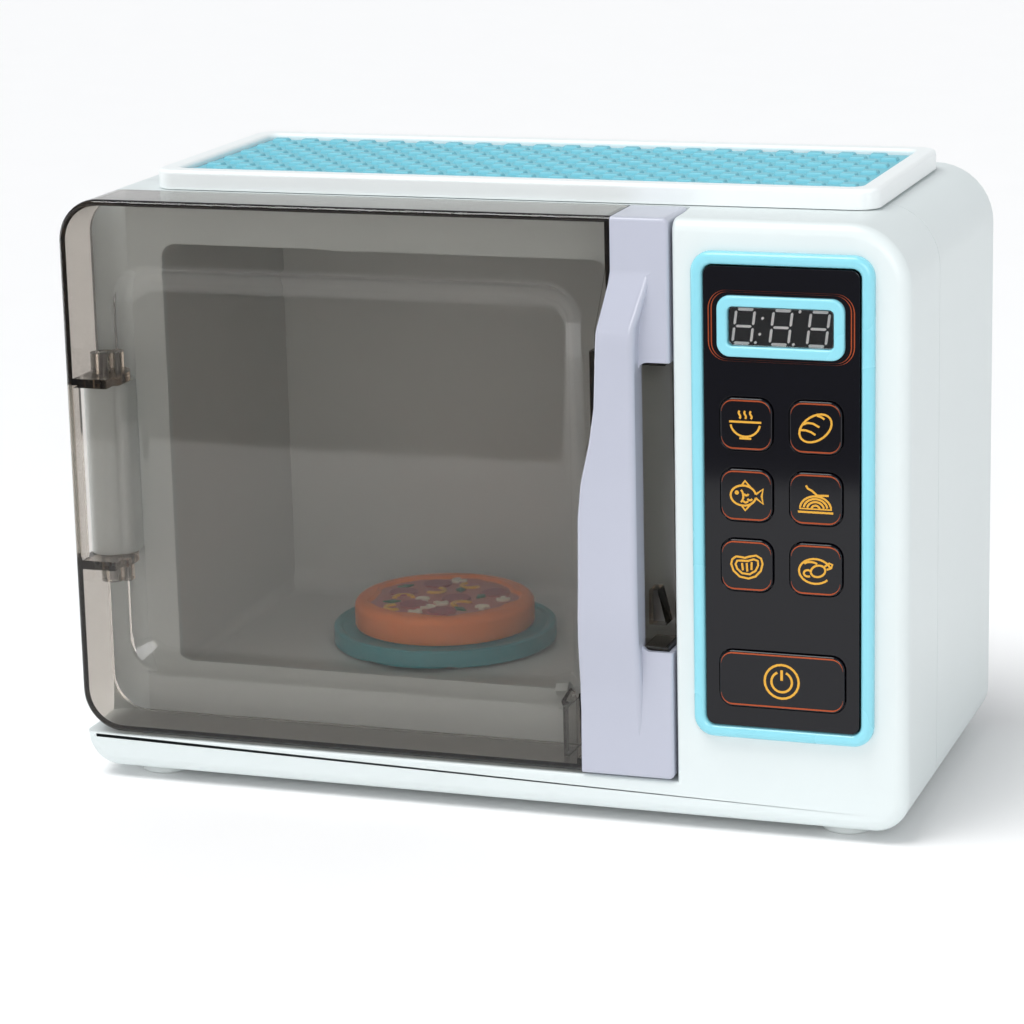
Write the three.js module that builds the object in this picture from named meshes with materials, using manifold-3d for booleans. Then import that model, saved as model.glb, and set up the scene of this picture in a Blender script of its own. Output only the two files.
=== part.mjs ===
// Toy microwave oven: moulded housing, clear hinged door, key panel, and a driven turntable.
// Millimetres, +X to the right, +Z up. Inside the group, y is the depth behind the panel's face.

import * as THREE from 'three';
import { mergeVertices } from 'three/addons/utils/BufferGeometryUtils.js';
import Module from 'manifold-3d';

const wasm = await Module();
wasm.setup();

// Housing
const bodyWidth = 300;
const bodyDepth = 143;
const bodyTop = 209;
const housingWall = 2.4;
const topRightRadius = 21;
const topLeftRadius = 15;
const baseRadius = 12;
const faceRound = 4;
const rearRound = 7;
const frontShellDepth = 46;
const seamLipDepth = 3;
const seamLipWall = 1.6;
const fitGap = 0.3;
const cutOverrun = 2;
const cornerSteps = 6;
const keyCornerSteps = 2;
const roundSteps = 2;
const wideSides = 36;
const roundSides = 20;
const smallSides = 12;

// Feet
const footHeight = 4;
const footRadius = 9;
const footPegRadius = 3;
const footPegHeight = 1.8;
const footRound = 1;
const footSideInset = 24;
const footFrontInset = 17;
const footRearInset = 20;

// Door shell
const panelSectionWidth = 80;
const doorBottom = 17.3;
const doorDepth = 23.6;
const doorRecessDepth = 24;
const doorWall = 2.2;
const doorCornerRadius = 15;
const doorEdgeRadius = 2;
const doorFrontRound = 1.6;
const doorSideGap = 0.9;
const sillGap = 0.8;

// Window pressed into the door
const windowSideMargin = 19.4;
const windowEndMargin = 22.8;
const windowRightMargin = 30.1;
const windowStep = 7.9;
const windowDepth = 4.5;
const windowRadius = 14;
const windowInnerRadius = 7;

// Hinge
const hingeInset = 7.5;
const hingeDepth = 16;
const swingRadius = 11.2;
const lugRadius = 7.2;
const lugWebInset = 3;
const lugRise = 62.8;
const lugHeight = 61.7;
const tabThickness = 3.2;
const tabGap = 0.4;
const tabRadius = 7.4;
const hingeBossRadius = 4.3;
const hingeBossHeight = 7;
const hingePinRadius = 1.5;
const hingePinReach = 12;
const notchDepth = 8;

// Handle cap and grip
const capWall = 1.6;
const capProud = 1;
const gripProud = 7;
const gripTopMargin = 16;
const gripLowMargin = 12;
const gripSideLean = 2.2;
const gripBarDepth = 4;
const gripRound = 2;
const notchRight = 10.6;
const notchTopMargin = 48;
const notchLowMargin = 44.7;
const notchRadius = 3;
const pocketWidth = 26;
const pocketDepth = 15.5;
const pocketWall = 2;
const catchWedgeWidth = 6;
const catchWedgeHeight = 12;
const catchWedgeRise = 7;

// Cap's left edge, from the bottom of the door up: share of the door's height and of the cap's width
const capWidth = 32.6;
const capEdgeShares = [
  [0, 1], [0.145, 0.994], [0.348, 0.957], [0.473, 0.945], [0.536, 0.908], [0.609, 0.81],
  [0.671, 0.755], [0.802, 0.724], [0.849, 0.669], [0.906, 0.607], [1, 0.604],
];

// Grip, from its lower end up: share of its length and of its full height above the cap
const gripShares = [
  [0, 0], [0.12, 0.3], [0.22, 0.86], [0.27, 0.98], [0.32, 1], [0.84, 1], [0.88, 0.92],
  [0.96, 0.2], [0.98, 0.04], [1, 0],
];

// Cavity and its liner
const cavitySide = 28.5;
const cavityRight = 28.5;
const cavityLowMargin = 19.7;
const cavityTopMargin = 19.2;
const cavityRadius = 5;
const linerWall = 2;
const linerBackGap = 9;
const linerFloorRound = 9;
const linerFlange = 5;
const linerRelief = 0.5;

// Catch on the sill
const catchInset = 17;
const catchWidth = 6;
const catchHeight = 4.2;
const catchReach = 4;
const catchFoot = 6;
const catchRibThickness = 2;
const catchRibDepth = 14;

// Raised frame and block panel on the top
const topFrameHeight = 6.7;
const topFrameLeft = 25;
const topFrameRight = 17;
const topFrameFront = 25.6;
const topFrameRear = 17;
const topFrameRim = 7;
const topFrameRadius = 8;
const topFrameRound = 1.6;
const topPanelThickness = 4.4;
const blockPitch = 11.3;
const blockRowPitch = 7.6;
const blockLength = 6.4;
const blockDepth = 5;
const blockHeight = 1.3;
const blockTaper = 0.7;
const blockMargin = 2.2;

// Control panel
const bezelLeftMargin = 7.6;
const bezelRightMargin = 11.1;
const bezelTopMargin = 10;
const bezelLowMargin = 30.5;
const bezelRim = 4.3;
const bezelProud = 3;
const bezelRadius = 7;
const bezelInnerRadius = 3;
const bezelRound = 1.2;
const bezelLedge = 2;
const bezelCollarWall = 1.2;
const bezelCollarDepth = 4;
const panelThickness = 2;
const panelRecess = 0.4;
const displayMargin = 5.05;
const displayHeight = 20.2;
const displayDrop = 24.1;
const displayRim = 3.6;
const displayProud = 1.4;
const displayRadius = 4;
const displayInnerRadius = 1.6;
const displayCollarWall = 1;
const lensThickness = 1.2;
const lensRecess = 1;
const keyMargin = 5.9;
const keyGapX = 5.7;
const keyTopShare = 0.292;
const keyGapShare = 0.133;
const keyRadius = 4.5;
const keyProud = 1;
const keyEdge = 0.7;
const keyFlange = 1.2;
const keyFlangeThickness = 1;
const keyTravel = 1.2;
const keyCupDepth = 1.8;
const powerHeight = 19.3;
const powerRise = 21.3;
const domeRadius = 4.4;
const domeTopRadius = 3;
const boardThickness = 1.6;

// Turntable, its drive and the toy food
const turntableRadius = 40.8;
const turntableRest = 0.8;
const turntableThickness = 5.9;
const turntableRimHeight = 0.8;
const turntableRimWidth = 2.6;
const turntableHubDepth = 3.2;
const spindleRadius = 3;
const spindlePinRadius = 1.5;
const spindleHeadRadius = 5;
const gearModule = 0.8;
const gearAddendum = 0.64;
const toothFoot = 0.3;
const toothTip = 0.1;
const outputTeeth = 32;
const idlerTeeth = 28;
const pinionTeeth = 8;
const gearPlay = 0.18;
const gearThickness = 3.4;
const gearLayerGap = 1.2;
const idlerAxleRadius = 1;
const motorRadius = 12;
const motorHeight = 12;
const motorEdge = 1;
const motorShaftRadius = 1;
const gearboxFloor = 19.7;
const gearboxHeight = 11.5;
const gearboxWall = 1.6;
const gearboxMargin = 1.6;
const gearboxRadius = 6.4;
const gearboxPostInset = 4.8;
const gearboxPostRadius = 4;
const pizzaInset = 7.9;
const pizzaHeight = 10.3;
const pizzaCrustWidth = 6;
const pizzaCrustDrop = 1.6;
const pizzaRound = 3;

// Lamp and speaker
const lampDrop = 29.8;
const lampSetback = 34;
const lampRadius = 7;
const lampFlange = 2;
const lampFlangeThickness = 1;
const lampDome = 1.4;
const lampEdge = 2;
const lampBoardThickness = 1.6;
const lampBulbRadius = 2.5;
const lampBulbLength = 5;
const lampBulbEdge = 0.8;
const speakerInset = 42;
const speakerGapShare = 0.361;
const speakerRadius = 19;
const speakerDepth = 12;
const speakerRimWidth = 2.6;
const speakerMagnetRadius = 10.5;
const speakerRingHeight = 6;
const speakerSlots = 7;
const speakerSlotPitch = 4.4;
const speakerSlotHeight = 2;

// Battery bay
const cellRadius = 7.1;
const cellLength = 50;
const cellNub = 1.5;
const cellNubRadius = 2.7;
const cellCount = 3;
const cellPitch = 15.2;
const contactThickness = 0.6;
const contactSpring = 2;
const contactSpringRadius = 4;
const contactWidth = 10;
const batteryWall = 1.6;
const batteryFloorGap = 0.5;
const batteryInset = 44;
const batteryRise = 64;
const batteryCoverThickness = 2.1;
const batteryCoverMargin = 4;
const batteryCoverEar = 14;
const batteryCupWall = 1.6;
const batteryCupDepth = 4.7;

// Screws and posts
const screwHeadRadius = 3;
const screwHeadHeight = 2;
const screwShankRadius = 1.3;
const screwLength = 12;
const coverScrewLength = 7.2;
const screwSlotWidth = 0.9;
const screwSlotDepth = 1.1;
const postRadius = 4;
const postEndGap = 23;
const postSideInset = 13;
const postRightInset = 11;
const postMiddleInset = 10;
const postRise = 16;
const postDrop = 17;

const white = plastic(0xe6ecea, 0.32);
const smoke = plastic(0x77756c, 0.12, 0.45);
const lavender = plastic(0xb9bccb, 0.3);
const lightBlue = plastic(0xa2ecf3, 0.3);
const topBlue = plastic(0x76d6e6, 0.35);
const glossBlack = plastic(0x14141d, 0.08);
const teal = plastic(0x4f9792, 0.4);
const crust = plastic(0xd8793f, 0.5);
const liner = plastic(0x9a9893, 0.45);
const clear = plastic(0xdfe8ee, 0.1, 0.5);
const darkGrey = plastic(0x2b2d31, 0.6);
const rubber = plastic(0x3a3c40, 0.85);
const boardGreen = plastic(0x1f6b3f, 0.5);
const acetal = plastic(0xf2efe4, 0.45);
const cellBlue = plastic(0x3c5f9c, 0.4);
const steel = new THREE.MeshStandardMaterial({ color: 0xb9bdc2, roughness: 0.3, metalness: 1 });

function plastic(color, roughness, opacity = 1) {
  return new THREE.MeshStandardMaterial({
    color, roughness, metalness: 0, opacity, transparent: opacity < 1,
  });
}

// Derived sizes and places
const faceY = (gripProud - bodyDepth) / 2;
const left = -bodyWidth / 2;
const right = bodyWidth / 2;
const doorWidth = bodyWidth - panelSectionWidth;
const doorHeight = bodyTop - doorBottom;
const doorRight = left + doorWidth;
const panelLeft = doorRight + doorSideGap;
const sillTop = doorBottom - sillGap;
const hingeX = left + hingeInset;
const lugBottom = doorBottom + lugRise;
const lugTop = lugBottom + lugHeight;
const notchBottom = doorBottom + notchLowMargin;
const notchTop = bodyTop - notchTopMargin;
const gripLow = doorBottom + gripLowMargin;
const gripHigh = bodyTop - gripTopMargin;
const liningFront = doorRecessDepth + housingWall + fitGap;
const linerBack = bodyDepth - linerBackGap;
const cavityBottom = doorBottom + cavityLowMargin;
const cavityTop = bodyTop - cavityTopMargin;
const cavityLeftX = left + cavitySide;
const cavityRightX = doorRight - cavityRight;
const cavityX = (cavityLeftX + cavityRightX) / 2;
const floorTop = cavityBottom - linerRelief;
const turntableDepth = (doorRecessDepth + linerBack) / 2;
const pizzaRadius = turntableRadius - pizzaInset;
const catchX = cavityRightX - catchInset;
const bezelX = doorRight + bezelLeftMargin;
const bezelRightX = right - bezelRightMargin;
const bezelWidth = bezelRightX - bezelX;
const bezelTop = bodyTop - bezelTopMargin;
const bezelBottom = footHeight + bezelLowMargin;
const panelX = bezelX + bezelWidth / 2;
const panelFront = panelRecess - bezelProud;
const panelBack = panelFront + panelThickness;
const displayWidth = bezelWidth - 2 * bezelRim - 2 * displayMargin;
const displayCentre = bezelTop - displayDrop;
const keySize = (bezelWidth - 2 * bezelRim - 2 * keyMargin - keyGapX) / 2;
const powerWidth = displayWidth;
const powerCentre = bezelBottom + powerRise;
const displayLow = displayCentre - displayHeight / 2;
const keyFreeHeight = displayLow - powerCentre - powerHeight / 2 - 3 * keySize;
const keyGapZ = keyGapShare * keyFreeHeight;
const keyTopRow = displayLow - keyTopShare * keyFreeHeight - keySize / 2;
const lampHeight = cavityTop - lampDrop;
const lampDepth = doorRecessDepth + lampSetback;
const batteryX = right - batteryInset;
const batteryHeight = footHeight + batteryRise;
const batteryTop = batteryHeight + (cellCount * cellPitch) / 2 + batteryCoverMargin;
const speakerX = right - speakerInset;
const speakerSpan = 2 * (speakerRadius + housingWall);
const speakerFreeHeight = bodyTop - batteryTop - speakerSpan;
const speakerHeight = batteryTop + speakerGapShare * speakerFreeHeight + speakerSpan / 2;
const rearInner = bodyDepth - housingWall;
const baseInner = footHeight + housingWall;
const postEnd = bodyDepth - postEndGap;
const postHeadSeat = postEnd + fitGap + housingWall;
const postMiddle = doorRight - postMiddleInset;
const postLow = footHeight + postRise;
const postHigh = bodyTop - postDrop;
const seat = fitGap;

// Turns a closed geometry into a solid whose faces point out
function solid(geometry) {
  const bare = geometry.clone();
  bare.deleteAttribute('normal');
  bare.deleteAttribute('uv');
  const merged = mergeVertices(bare, 1e-4);
  const vertProperties = new Float32Array(merged.attributes.position.array);
  const triVerts = new Uint32Array(merged.index.array);
  const corner = (i) => new THREE.Vector3().fromArray(vertProperties, 3 * triVerts[i]);
  let volume = 0;
  for (let i = 0; i < triVerts.length; i += 3) {
    volume += corner(i).dot(corner(i + 1).cross(corner(i + 2)));
  }
  if (volume < 0) {
    for (let i = 0; i < triVerts.length; i += 3) {
      [triVerts[i], triVerts[i + 1]] = [triVerts[i + 1], triVerts[i]];
    }
  }
  return new wasm.Manifold(new wasm.Mesh({ numProp: 3, vertProperties, triVerts }));
}

function geometryOf(shape) {
  const { vertProperties, triVerts, numProp } = shape.getMesh();
  const position = new Float32Array((vertProperties.length / numProp) * 3);
  for (let i = 0; i < position.length / 3; i += 1) {
    for (let k = 0; k < 3; k += 1) position[3 * i + k] = vertProperties[numProp * i + k];
  }
  const geometry = new THREE.BufferGeometry();
  geometry.setAttribute('position', new THREE.BufferAttribute(position, 3));
  geometry.setIndex(new THREE.BufferAttribute(new Uint32Array(triVerts), 1));
  geometry.computeVertexNormals();
  return geometry;
}

function join(first, ...rest) {
  return rest.reduce((sum, shape) => sum.add(shape), first);
}

function cut(first, ...rest) {
  return rest.reduce((sum, shape) => sum.subtract(shape), first);
}

function box(x0, x1, y0, y1, z0, z1) {
  const geometry = new THREE.BoxGeometry(x1 - x0, y1 - y0, z1 - z0);
  return solid(geometry.translate((x0 + x1) / 2, (y0 + y1) / 2, (z0 + z1) / 2));
}

// A round piece on the Z axis through (x, y), from [radius, height] pairs that start and end on the axis
function turned(x, y, profile, sides = roundSides) {
  const points = profile.map(([r, z]) => new THREE.Vector2(r, z));
  return solid(new THREE.LatheGeometry(points, sides).rotateX(Math.PI / 2).translate(x, y, 0));
}

function rod(x, y, radius, z0, z1, sides = roundSides) {
  return turned(x, y, [[0, z0], [radius, z0], [radius, z1], [0, z1]], sides);
}

// The same about an axis along Y through (x, z), with depths in place of heights
function turnedDeep(x, z, profile, sides = roundSides) {
  const points = profile.map(([r, y]) => new THREE.Vector2(r, y));
  return solid(new THREE.LatheGeometry(points, sides).translate(x, 0, z));
}

function rodDeep(x, z, radius, y0, y1, sides = roundSides) {
  return turnedDeep(x, z, [[0, y0], [radius, y0], [radius, y1], [0, y1]], sides);
}

// The same about an axis along X through (y, z), with places along X
function turnedAcross(y, z, profile, sides = roundSides) {
  const points = profile.map(([r, x]) => new THREE.Vector2(r, x));
  return solid(new THREE.LatheGeometry(points, sides).rotateZ(-Math.PI / 2).translate(0, y, z));
}

// A rounded rectangle's corners as points; radii run top right, top left, bottom left, bottom right
function roundedRing(x0, x1, z0, z1, radii, steps = cornerSteps) {
  const [topRight, topLeft, lowLeft, lowRight] = radii;
  const corners = [
    [x1 - topRight, z1 - topRight, topRight, 0],
    [x0 + topLeft, z1 - topLeft, topLeft, 1],
    [x0 + lowLeft, z0 + lowLeft, lowLeft, 2],
    [x1 - lowRight, z0 + lowRight, lowRight, 3],
  ];
  const ring = [];
  for (const [cx, cz, radius, quarter] of corners) {
    for (let i = 0; i <= steps; i += 1) {
      const angle = (quarter + i / steps) * Math.PI / 2;
      ring.push([cx + radius * Math.cos(angle), cz + radius * Math.sin(angle)]);
    }
  }
  return ring;
}

function evenRing(cx, cz, width, height, radius, steps = cornerSteps) {
  const radii = [radius, radius, radius, radius];
  return roundedRing(cx - width / 2, cx + width / 2, cz - height / 2, cz + height / 2, radii, steps);
}

// Joins rings of as many points each, at rising levels; place turns (u, v, level) into a point
function stack(sections, place = (u, v, level) => [u, level, v]) {
  const count = sections[0][0].length;
  const position = sections.flatMap(([ring, level]) => ring.flatMap(([u, v]) => place(u, v, level)));
  const index = [];
  for (let s = 0; s + 1 < sections.length; s += 1) {
    for (let i = 0; i < count; i += 1) {
      const a = s * count + i;
      const b = s * count + (i + 1) % count;
      index.push(a, b, b + count, a, b + count, a + count);
    }
  }
  const lastStart = (sections.length - 1) * count;
  const contour = (ring) => ring.map(([u, v]) => new THREE.Vector2(u, v));
  for (const [a, b, c] of THREE.ShapeUtils.triangulateShape(contour(sections[0][0]), [])) {
    index.push(a, c, b);
  }
  for (const [a, b, c] of THREE.ShapeUtils.triangulateShape(contour(sections.at(-1)[0]), [])) {
    index.push(lastStart + a, lastStart + b, lastStart + c);
  }
  const geometry = new THREE.BufferGeometry();
  geometry.setAttribute('position', new THREE.Float32BufferAttribute(position, 3));
  geometry.setIndex(index);
  return solid(geometry);
}

function flat(u, v, level) {
  return [u, v, level];
}

function across(u, v, level) {
  return [level, u, v];
}

function prism(ring, y0, y1) {
  return stack([[ring, y0], [ring, y1]]);
}

// A prism whose outline is ringAt(inset), with rounded edges at either end
function softPrism(ringAt, y0, y1, round0, round1) {
  const quarter = (i) => {
    const angle = (i / roundSteps) * Math.PI / 2;
    return [1 - Math.sin(angle), 1 - Math.cos(angle)];
  };
  const sections = [];
  for (let i = 0; i <= roundSteps && round0 > 0; i += 1) {
    const [shrink, rise] = quarter(i);
    sections.push([ringAt(round0 * shrink), y0 + round0 * rise]);
  }
  if (round0 === 0) sections.push([ringAt(0), y0]);
  for (let i = roundSteps; i >= 0 && round1 > 0; i -= 1) {
    const [shrink, rise] = quarter(i);
    sections.push([ringAt(round1 * shrink), y1 - round1 * rise]);
  }
  if (round1 === 0) sections.push([ringAt(0), y1]);
  return stack(sections);
}

function bodyRing(inset) {
  const radii = [topRightRadius, topLeftRadius, baseRadius, baseRadius].map((r) => r - inset);
  return roundedRing(left + inset, right - inset, footHeight + inset, bodyTop - inset, radii);
}

function doorRing(inset) {
  const radii = [doorEdgeRadius, doorCornerRadius, doorCornerRadius, doorEdgeRadius];
  const kept = radii.map((r) => Math.max(r - inset, fitGap));
  return roundedRing(left + inset, doorRight - inset, doorBottom + inset, bodyTop - inset, kept);
}

const group = new THREE.Group();
group.position.y = faceY;

function add(name, shape, material, x = 0, y = 0, z = 0) {
  const mesh = new THREE.Mesh(shape.getMesh ? geometryOf(shape) : shape, material);
  mesh.name = name;
  mesh.position.set(x, y, z);
  group.add(mesh);
}

// Posts that hold the two halves together, as [x, z]
const posts = [
  [left + postSideInset, postLow], [left + postSideInset, postHigh],
  [postMiddle, postLow], [postMiddle, postHigh + postRadius],
  [right - postRightInset, postLow], [right - postRightInset, postHigh - postRadius],
];

const footPlaces = [
  ['foot_front_left', left + footSideInset, footFrontInset],
  ['foot_front_right', right - footSideInset, footFrontInset],
  ['foot_rear_left', left + footSideInset, bodyDepth - footRearInset],
  ['foot_rear_right', right - footSideInset, bodyDepth - footRearInset],
];

function footHoles() {
  const radius = footPegRadius + fitGap;
  const [low, high] = [footHeight - cutOverrun, baseInner + cutOverrun];
  return footPlaces.map(([, x, y]) => rod(x, y, radius, low, high, smallSides));
}

function frontHousing() {
  const outer = softPrism(bodyRing, 0, frontShellDepth, faceRound, 0);
  const end = frontShellDepth + cutOverrun;
  const high = bodyTop + cutOverrun;
  const recess = box(left - cutOverrun, panelLeft, -cutOverrun, doorRecessDepth, sillTop, high);
  const step = box(
    left - cutOverrun, panelLeft + housingWall, -cutOverrun, doorRecessDepth + housingWall,
    sillTop - housingWall, high,
  );
  const swing = rod(hingeX, hingeDepth, swingRadius, sillTop, high, wideSides);
  const swingWall = rod(
    hingeX, hingeDepth, swingRadius + housingWall, sillTop - housingWall, high, wideSides,
  );
  const hollow = cut(prism(bodyRing(housingWall), housingWall, end), step, swingWall);
  const lug = join(
    rod(hingeX, hingeDepth, lugRadius, lugBottom, lugTop),
    box(
      hingeX - lugWebInset, hingeX + lugRadius, hingeDepth,
      hingeDepth + swingRadius + housingWall / 2, lugBottom, lugTop,
    ),
  );
  const pinHole = rod(
    hingeX, hingeDepth, hingePinRadius + fitGap, lugBottom - cutOverrun, lugTop + cutOverrun, smallSides,
  );
  const cavityRing = roundedRing(
    cavityLeftX, cavityRightX, cavityBottom, cavityTop,
    [cavityRadius, cavityRadius, cavityRadius, cavityRadius],
  );
  const mouth = prism(cavityRing, doorRecessDepth - cutOverrun, end);
  const rods = posts.map(([x, z]) => {
    const start = (x > panelLeft ? housingWall : liningFront) - fitGap;
    return rodDeep(x, z, postRadius, start, postEnd, smallSides);
  });
  const holes = posts.map(([x, z]) => (
    rodDeep(x, z, screwShankRadius + fitGap, postEnd - screwLength, postEnd + cutOverrun, smallSides)
  ));
  const catchSlot = box(
    catchX - catchWidth / 2 - fitGap, catchX + catchWidth / 2 + fitGap,
    doorRecessDepth - cutOverrun, doorRecessDepth + housingWall + cutOverrun,
    cavityBottom - catchFoot, cavityBottom + cutOverrun,
  );
  return cut(
    join(cut(outer, recess, swing, hollow), lug, ...rods),
    pinHole, mouth, panelMouth(), catchSlot, ...holes, ...footHoles().slice(0, 2),
  );
}

function panelMouth() {
  const inset = bezelRim - bezelCollarWall - fitGap;
  const ring = bezelRing(inset);
  return prism(ring, -cutOverrun, housingWall + cutOverrun);
}

function bezelRing(inset) {
  const radius = Math.max(bezelRadius - inset, bezelInnerRadius);
  const radii = [radius, radius, radius, radius];
  return roundedRing(bezelX + inset, bezelRightX - inset, bezelBottom + inset, bezelTop - inset, radii);
}

function batteryRing(margin) {
  const width = cellLength + cellNub + 2 * (contactThickness + contactSpring) + 2 * margin;
  const height = cellCount * cellPitch + 2 * margin;
  return [batteryX - width / 2, batteryX + width / 2, batteryHeight - height / 2, batteryHeight + height / 2];
}

function rearHousing() {
  const seam = frontShellDepth + fitGap;
  const outer = softPrism(bodyRing, seam, bodyDepth, 0, rearRound);
  const lipInset = housingWall + fitGap;
  const lipStart = frontShellDepth - seamLipDepth;
  const lip = prism(bodyRing(lipInset), lipStart, seam + seamLipDepth);
  const lipHollow = prism(
    bodyRing(lipInset + seamLipWall), lipStart - cutOverrun, seam + seamLipDepth + cutOverrun,
  );
  const hollow = prism(bodyRing(rearRound + housingWall / 2), seam + seamLipDepth, rearInner);
  const hollowSide = prism(bodyRing(housingWall), seam + seamLipDepth, bodyDepth - rearRound);
  const mouth = prism(
    bodyRing(lipInset + seamLipWall), seam - cutOverrun, seam + seamLipDepth + cutOverrun,
  );
  const bosses = posts.map(([x, z]) => (
    rodDeep(x, z, postRadius, postEnd + fitGap, bodyDepth - housingWall / 2, smallSides)
  ));
  const holes = posts.flatMap(([x, z]) => [
    rodDeep(x, z, screwShankRadius + fitGap, postEnd - cutOverrun, postHeadSeat + cutOverrun, smallSides),
    rodDeep(x, z, screwHeadRadius + fitGap, postHeadSeat, bodyDepth + cutOverrun, smallSides),
  ]);
  const [x0, x1, z0, z1] = batteryRing(batteryCoverMargin + fitGap);
  const bay = box(x0, x1, rearInner - cutOverrun, bodyDepth + cutOverrun, z0 - batteryCoverEar, z1);
  const ringFront = rearInner - speakerRingHeight;
  const ringRadius = speakerRadius + fitGap;
  const speakerRing = cut(
    rodDeep(speakerX, speakerHeight, ringRadius + housingWall, ringFront, rearInner + fitGap, wideSides),
    rodDeep(speakerX, speakerHeight, ringRadius, ringFront - cutOverrun, rearInner, wideSides),
  );
  const slots = [];
  for (let i = 0; i < speakerSlots; i += 1) {
    const offset = (i - (speakerSlots - 1) / 2) * speakerSlotPitch;
    const half = Math.sqrt((speakerRadius - speakerSlotPitch) ** 2 - offset ** 2);
    const z = speakerHeight + offset;
    slots.push(box(
      speakerX - half, speakerX + half, rearInner - cutOverrun, bodyDepth + cutOverrun,
      z - speakerSlotHeight / 2, z + speakerSlotHeight / 2,
    ));
  }
  const gearPosts = gearboxPosts().map(([x, y]) => (
    rod(x, y, gearboxPostRadius, footHeight + housingWall / 2, gearboxFloor - seat, smallSides)
  ));
  const shell = join(
    cut(outer, hollow, hollowSide, mouth), cut(lip, lipHollow), speakerRing, ...bosses, ...gearPosts,
  );
  return cut(shell, bay, ...slots, ...holes, ...footHoles().slice(2));
}

function foot() {
  const profile = [
    [0, 0], [footRadius - footRound, 0], [footRadius, footRound], [footRadius, footHeight],
    [footPegRadius, footHeight], [footPegRadius, footHeight + footPegHeight], [0, footHeight + footPegHeight],
  ];
  return turned(0, 0, profile, smallSides + cornerSteps);
}

function topRing(inset) {
  const z0 = topFrameFront + inset;
  const z1 = bodyDepth - topFrameRear - inset;
  const radius = topFrameRadius - Math.min(inset, topFrameRadius / 2);
  const radii = [radius, radius, radius, radius];
  return roundedRing(left + topFrameLeft + inset, right - topFrameRight - inset, z0, z1, radii);
}

function topFrame() {
  const base = bodyTop + seat;
  const top = base + topFrameHeight;
  const outer = stack([
    [topRing(0), base], [topRing(0), top - topFrameRound],
    [topRing(topFrameRound / 3), top - topFrameRound / 3], [topRing(topFrameRound), top],
  ], flat);
  const wellRing = topRing(topFrameRim);
  const well = stack([[wellRing, base - cutOverrun], [wellRing, top + cutOverrun]], flat);
  return cut(outer, well);
}

function topGrille() {
  const base = bodyTop + seat;
  const face = base + topPanelThickness;
  const edge = topFrameRim + fitGap;
  const panel = stack([[topRing(edge), base], [topRing(edge), face]], flat);
  const x0 = left + topFrameLeft + edge + blockMargin;
  const x1 = right - topFrameRight - edge - blockMargin;
  const y0 = topFrameFront + edge + blockMargin;
  const y1 = bodyDepth - topFrameRear - edge - blockMargin;
  const blocks = [];
  for (let row = 0; y0 + row * blockRowPitch + blockDepth <= y1; row += 1) {
    const y = y0 + row * blockRowPitch;
    for (let x = x0 + (row % 2) * blockPitch / 2; x + blockLength <= x1; x += blockPitch) {
      const low = [[x, y], [x + blockLength, y], [x + blockLength, y + blockDepth], [x, y + blockDepth]];
      const [hx0, hx1] = [x + blockTaper, x + blockLength - blockTaper];
      const [hy0, hy1] = [y + blockTaper, y + blockDepth - blockTaper];
      const high = [[hx0, hy0], [hx1, hy0], [hx1, hy1], [hx0, hy1]];
      blocks.push(stack([[low, face - fitGap], [high, face + blockHeight]], flat));
    }
  }
  return wasm.Manifold.union([panel, ...blocks]);
}

function liningShape(grow) {
  const front = liningFront;
  const back = linerBack + grow;
  const x0 = cavityLeftX - linerRelief - grow;
  const x1 = cavityRightX + linerRelief + grow;
  const z0 = floorTop - grow;
  const z1 = cavityTop + linerRelief + grow;
  const radius = cavityRadius + grow;
  const start = front - (grow > 0 ? 0 : cutOverrun);
  const face = prism(roundedRing(x0, x1, z0, z1, [radius, radius, radius, radius]), start, back);
  const round = linerFloorRound + grow;
  const side = roundedRing(start - cutOverrun, back, z0, z1, [round, fitGap, fitGap, round]);
  return face.intersect(stack([[side, x0 - cutOverrun], [side, x1 + cutOverrun]], across));
}

function cavityLiner() {
  const flange = prism(
    roundedRing(
      cavityLeftX - linerFlange, cavityRightX + linerFlange,
      cavityBottom - linerFlange, cavityTop + linerFlange,
      [cavityRadius, cavityRadius, cavityRadius, cavityRadius],
    ),
    liningFront, liningFront + linerWall,
  );
  const [holeStart, holeEnd] = [cavityRightX - cutOverrun, cavityRightX + linerWall + cutOverrun];
  const holeRadius = lampRadius + fitGap;
  const lampHole = turnedAcross(lampDepth, lampHeight, [
    [0, holeStart], [holeRadius, holeStart], [holeRadius, holeEnd], [0, holeEnd],
  ]);
  const shaftHole = rod(
    cavityX, turntableDepth, spindleRadius + 2 * fitGap, gearboxFloor, floorTop + cutOverrun,
  );
  return cut(join(liningShape(linerWall), flange), liningShape(0), lampHole, shaftHole);
}

// Value at a share along a table of [share, value] pairs that rise
function valueAt(table, share) {
  const k = table.findIndex(([at]) => at >= share);
  if (k <= 0) return table.at(k)[1];
  const [[lowAt, low], [highAt, high]] = [table[k - 1], table[k]];
  return THREE.MathUtils.mapLinear(share, lowAt, highAt, low, high);
}

// The cap's left edge as smoothed points from the top down, moved left by a clearance
function capEdgePoints(shift) {
  const corners = capEdgeShares.map(([up, wide]) => (
    new THREE.Vector2(doorRight - capWidth * wide - shift, doorBottom + doorHeight * up)
  ));
  const points = new THREE.SplineCurve(corners).getPoints(2 * corners.length);
  return points.reverse().map((p) => [p.x, p.y]);
}

function capEdgeX(height) {
  return doorRight - capWidth * valueAt(capEdgeShares, (height - doorBottom) / doorHeight);
}

// Everything right of the cap's left edge
function capSide(shift) {
  const edge = capEdgePoints(shift);
  const over = doorCornerRadius;
  const ring = [
    [edge[0][0], bodyTop + over], ...edge, [edge.at(-1)[0], doorBottom - over],
    [doorRight + over, doorBottom - over], [doorRight + over, bodyTop + over],
  ];
  return prism(ring, -gripProud - over, doorDepth + over);
}

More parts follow.
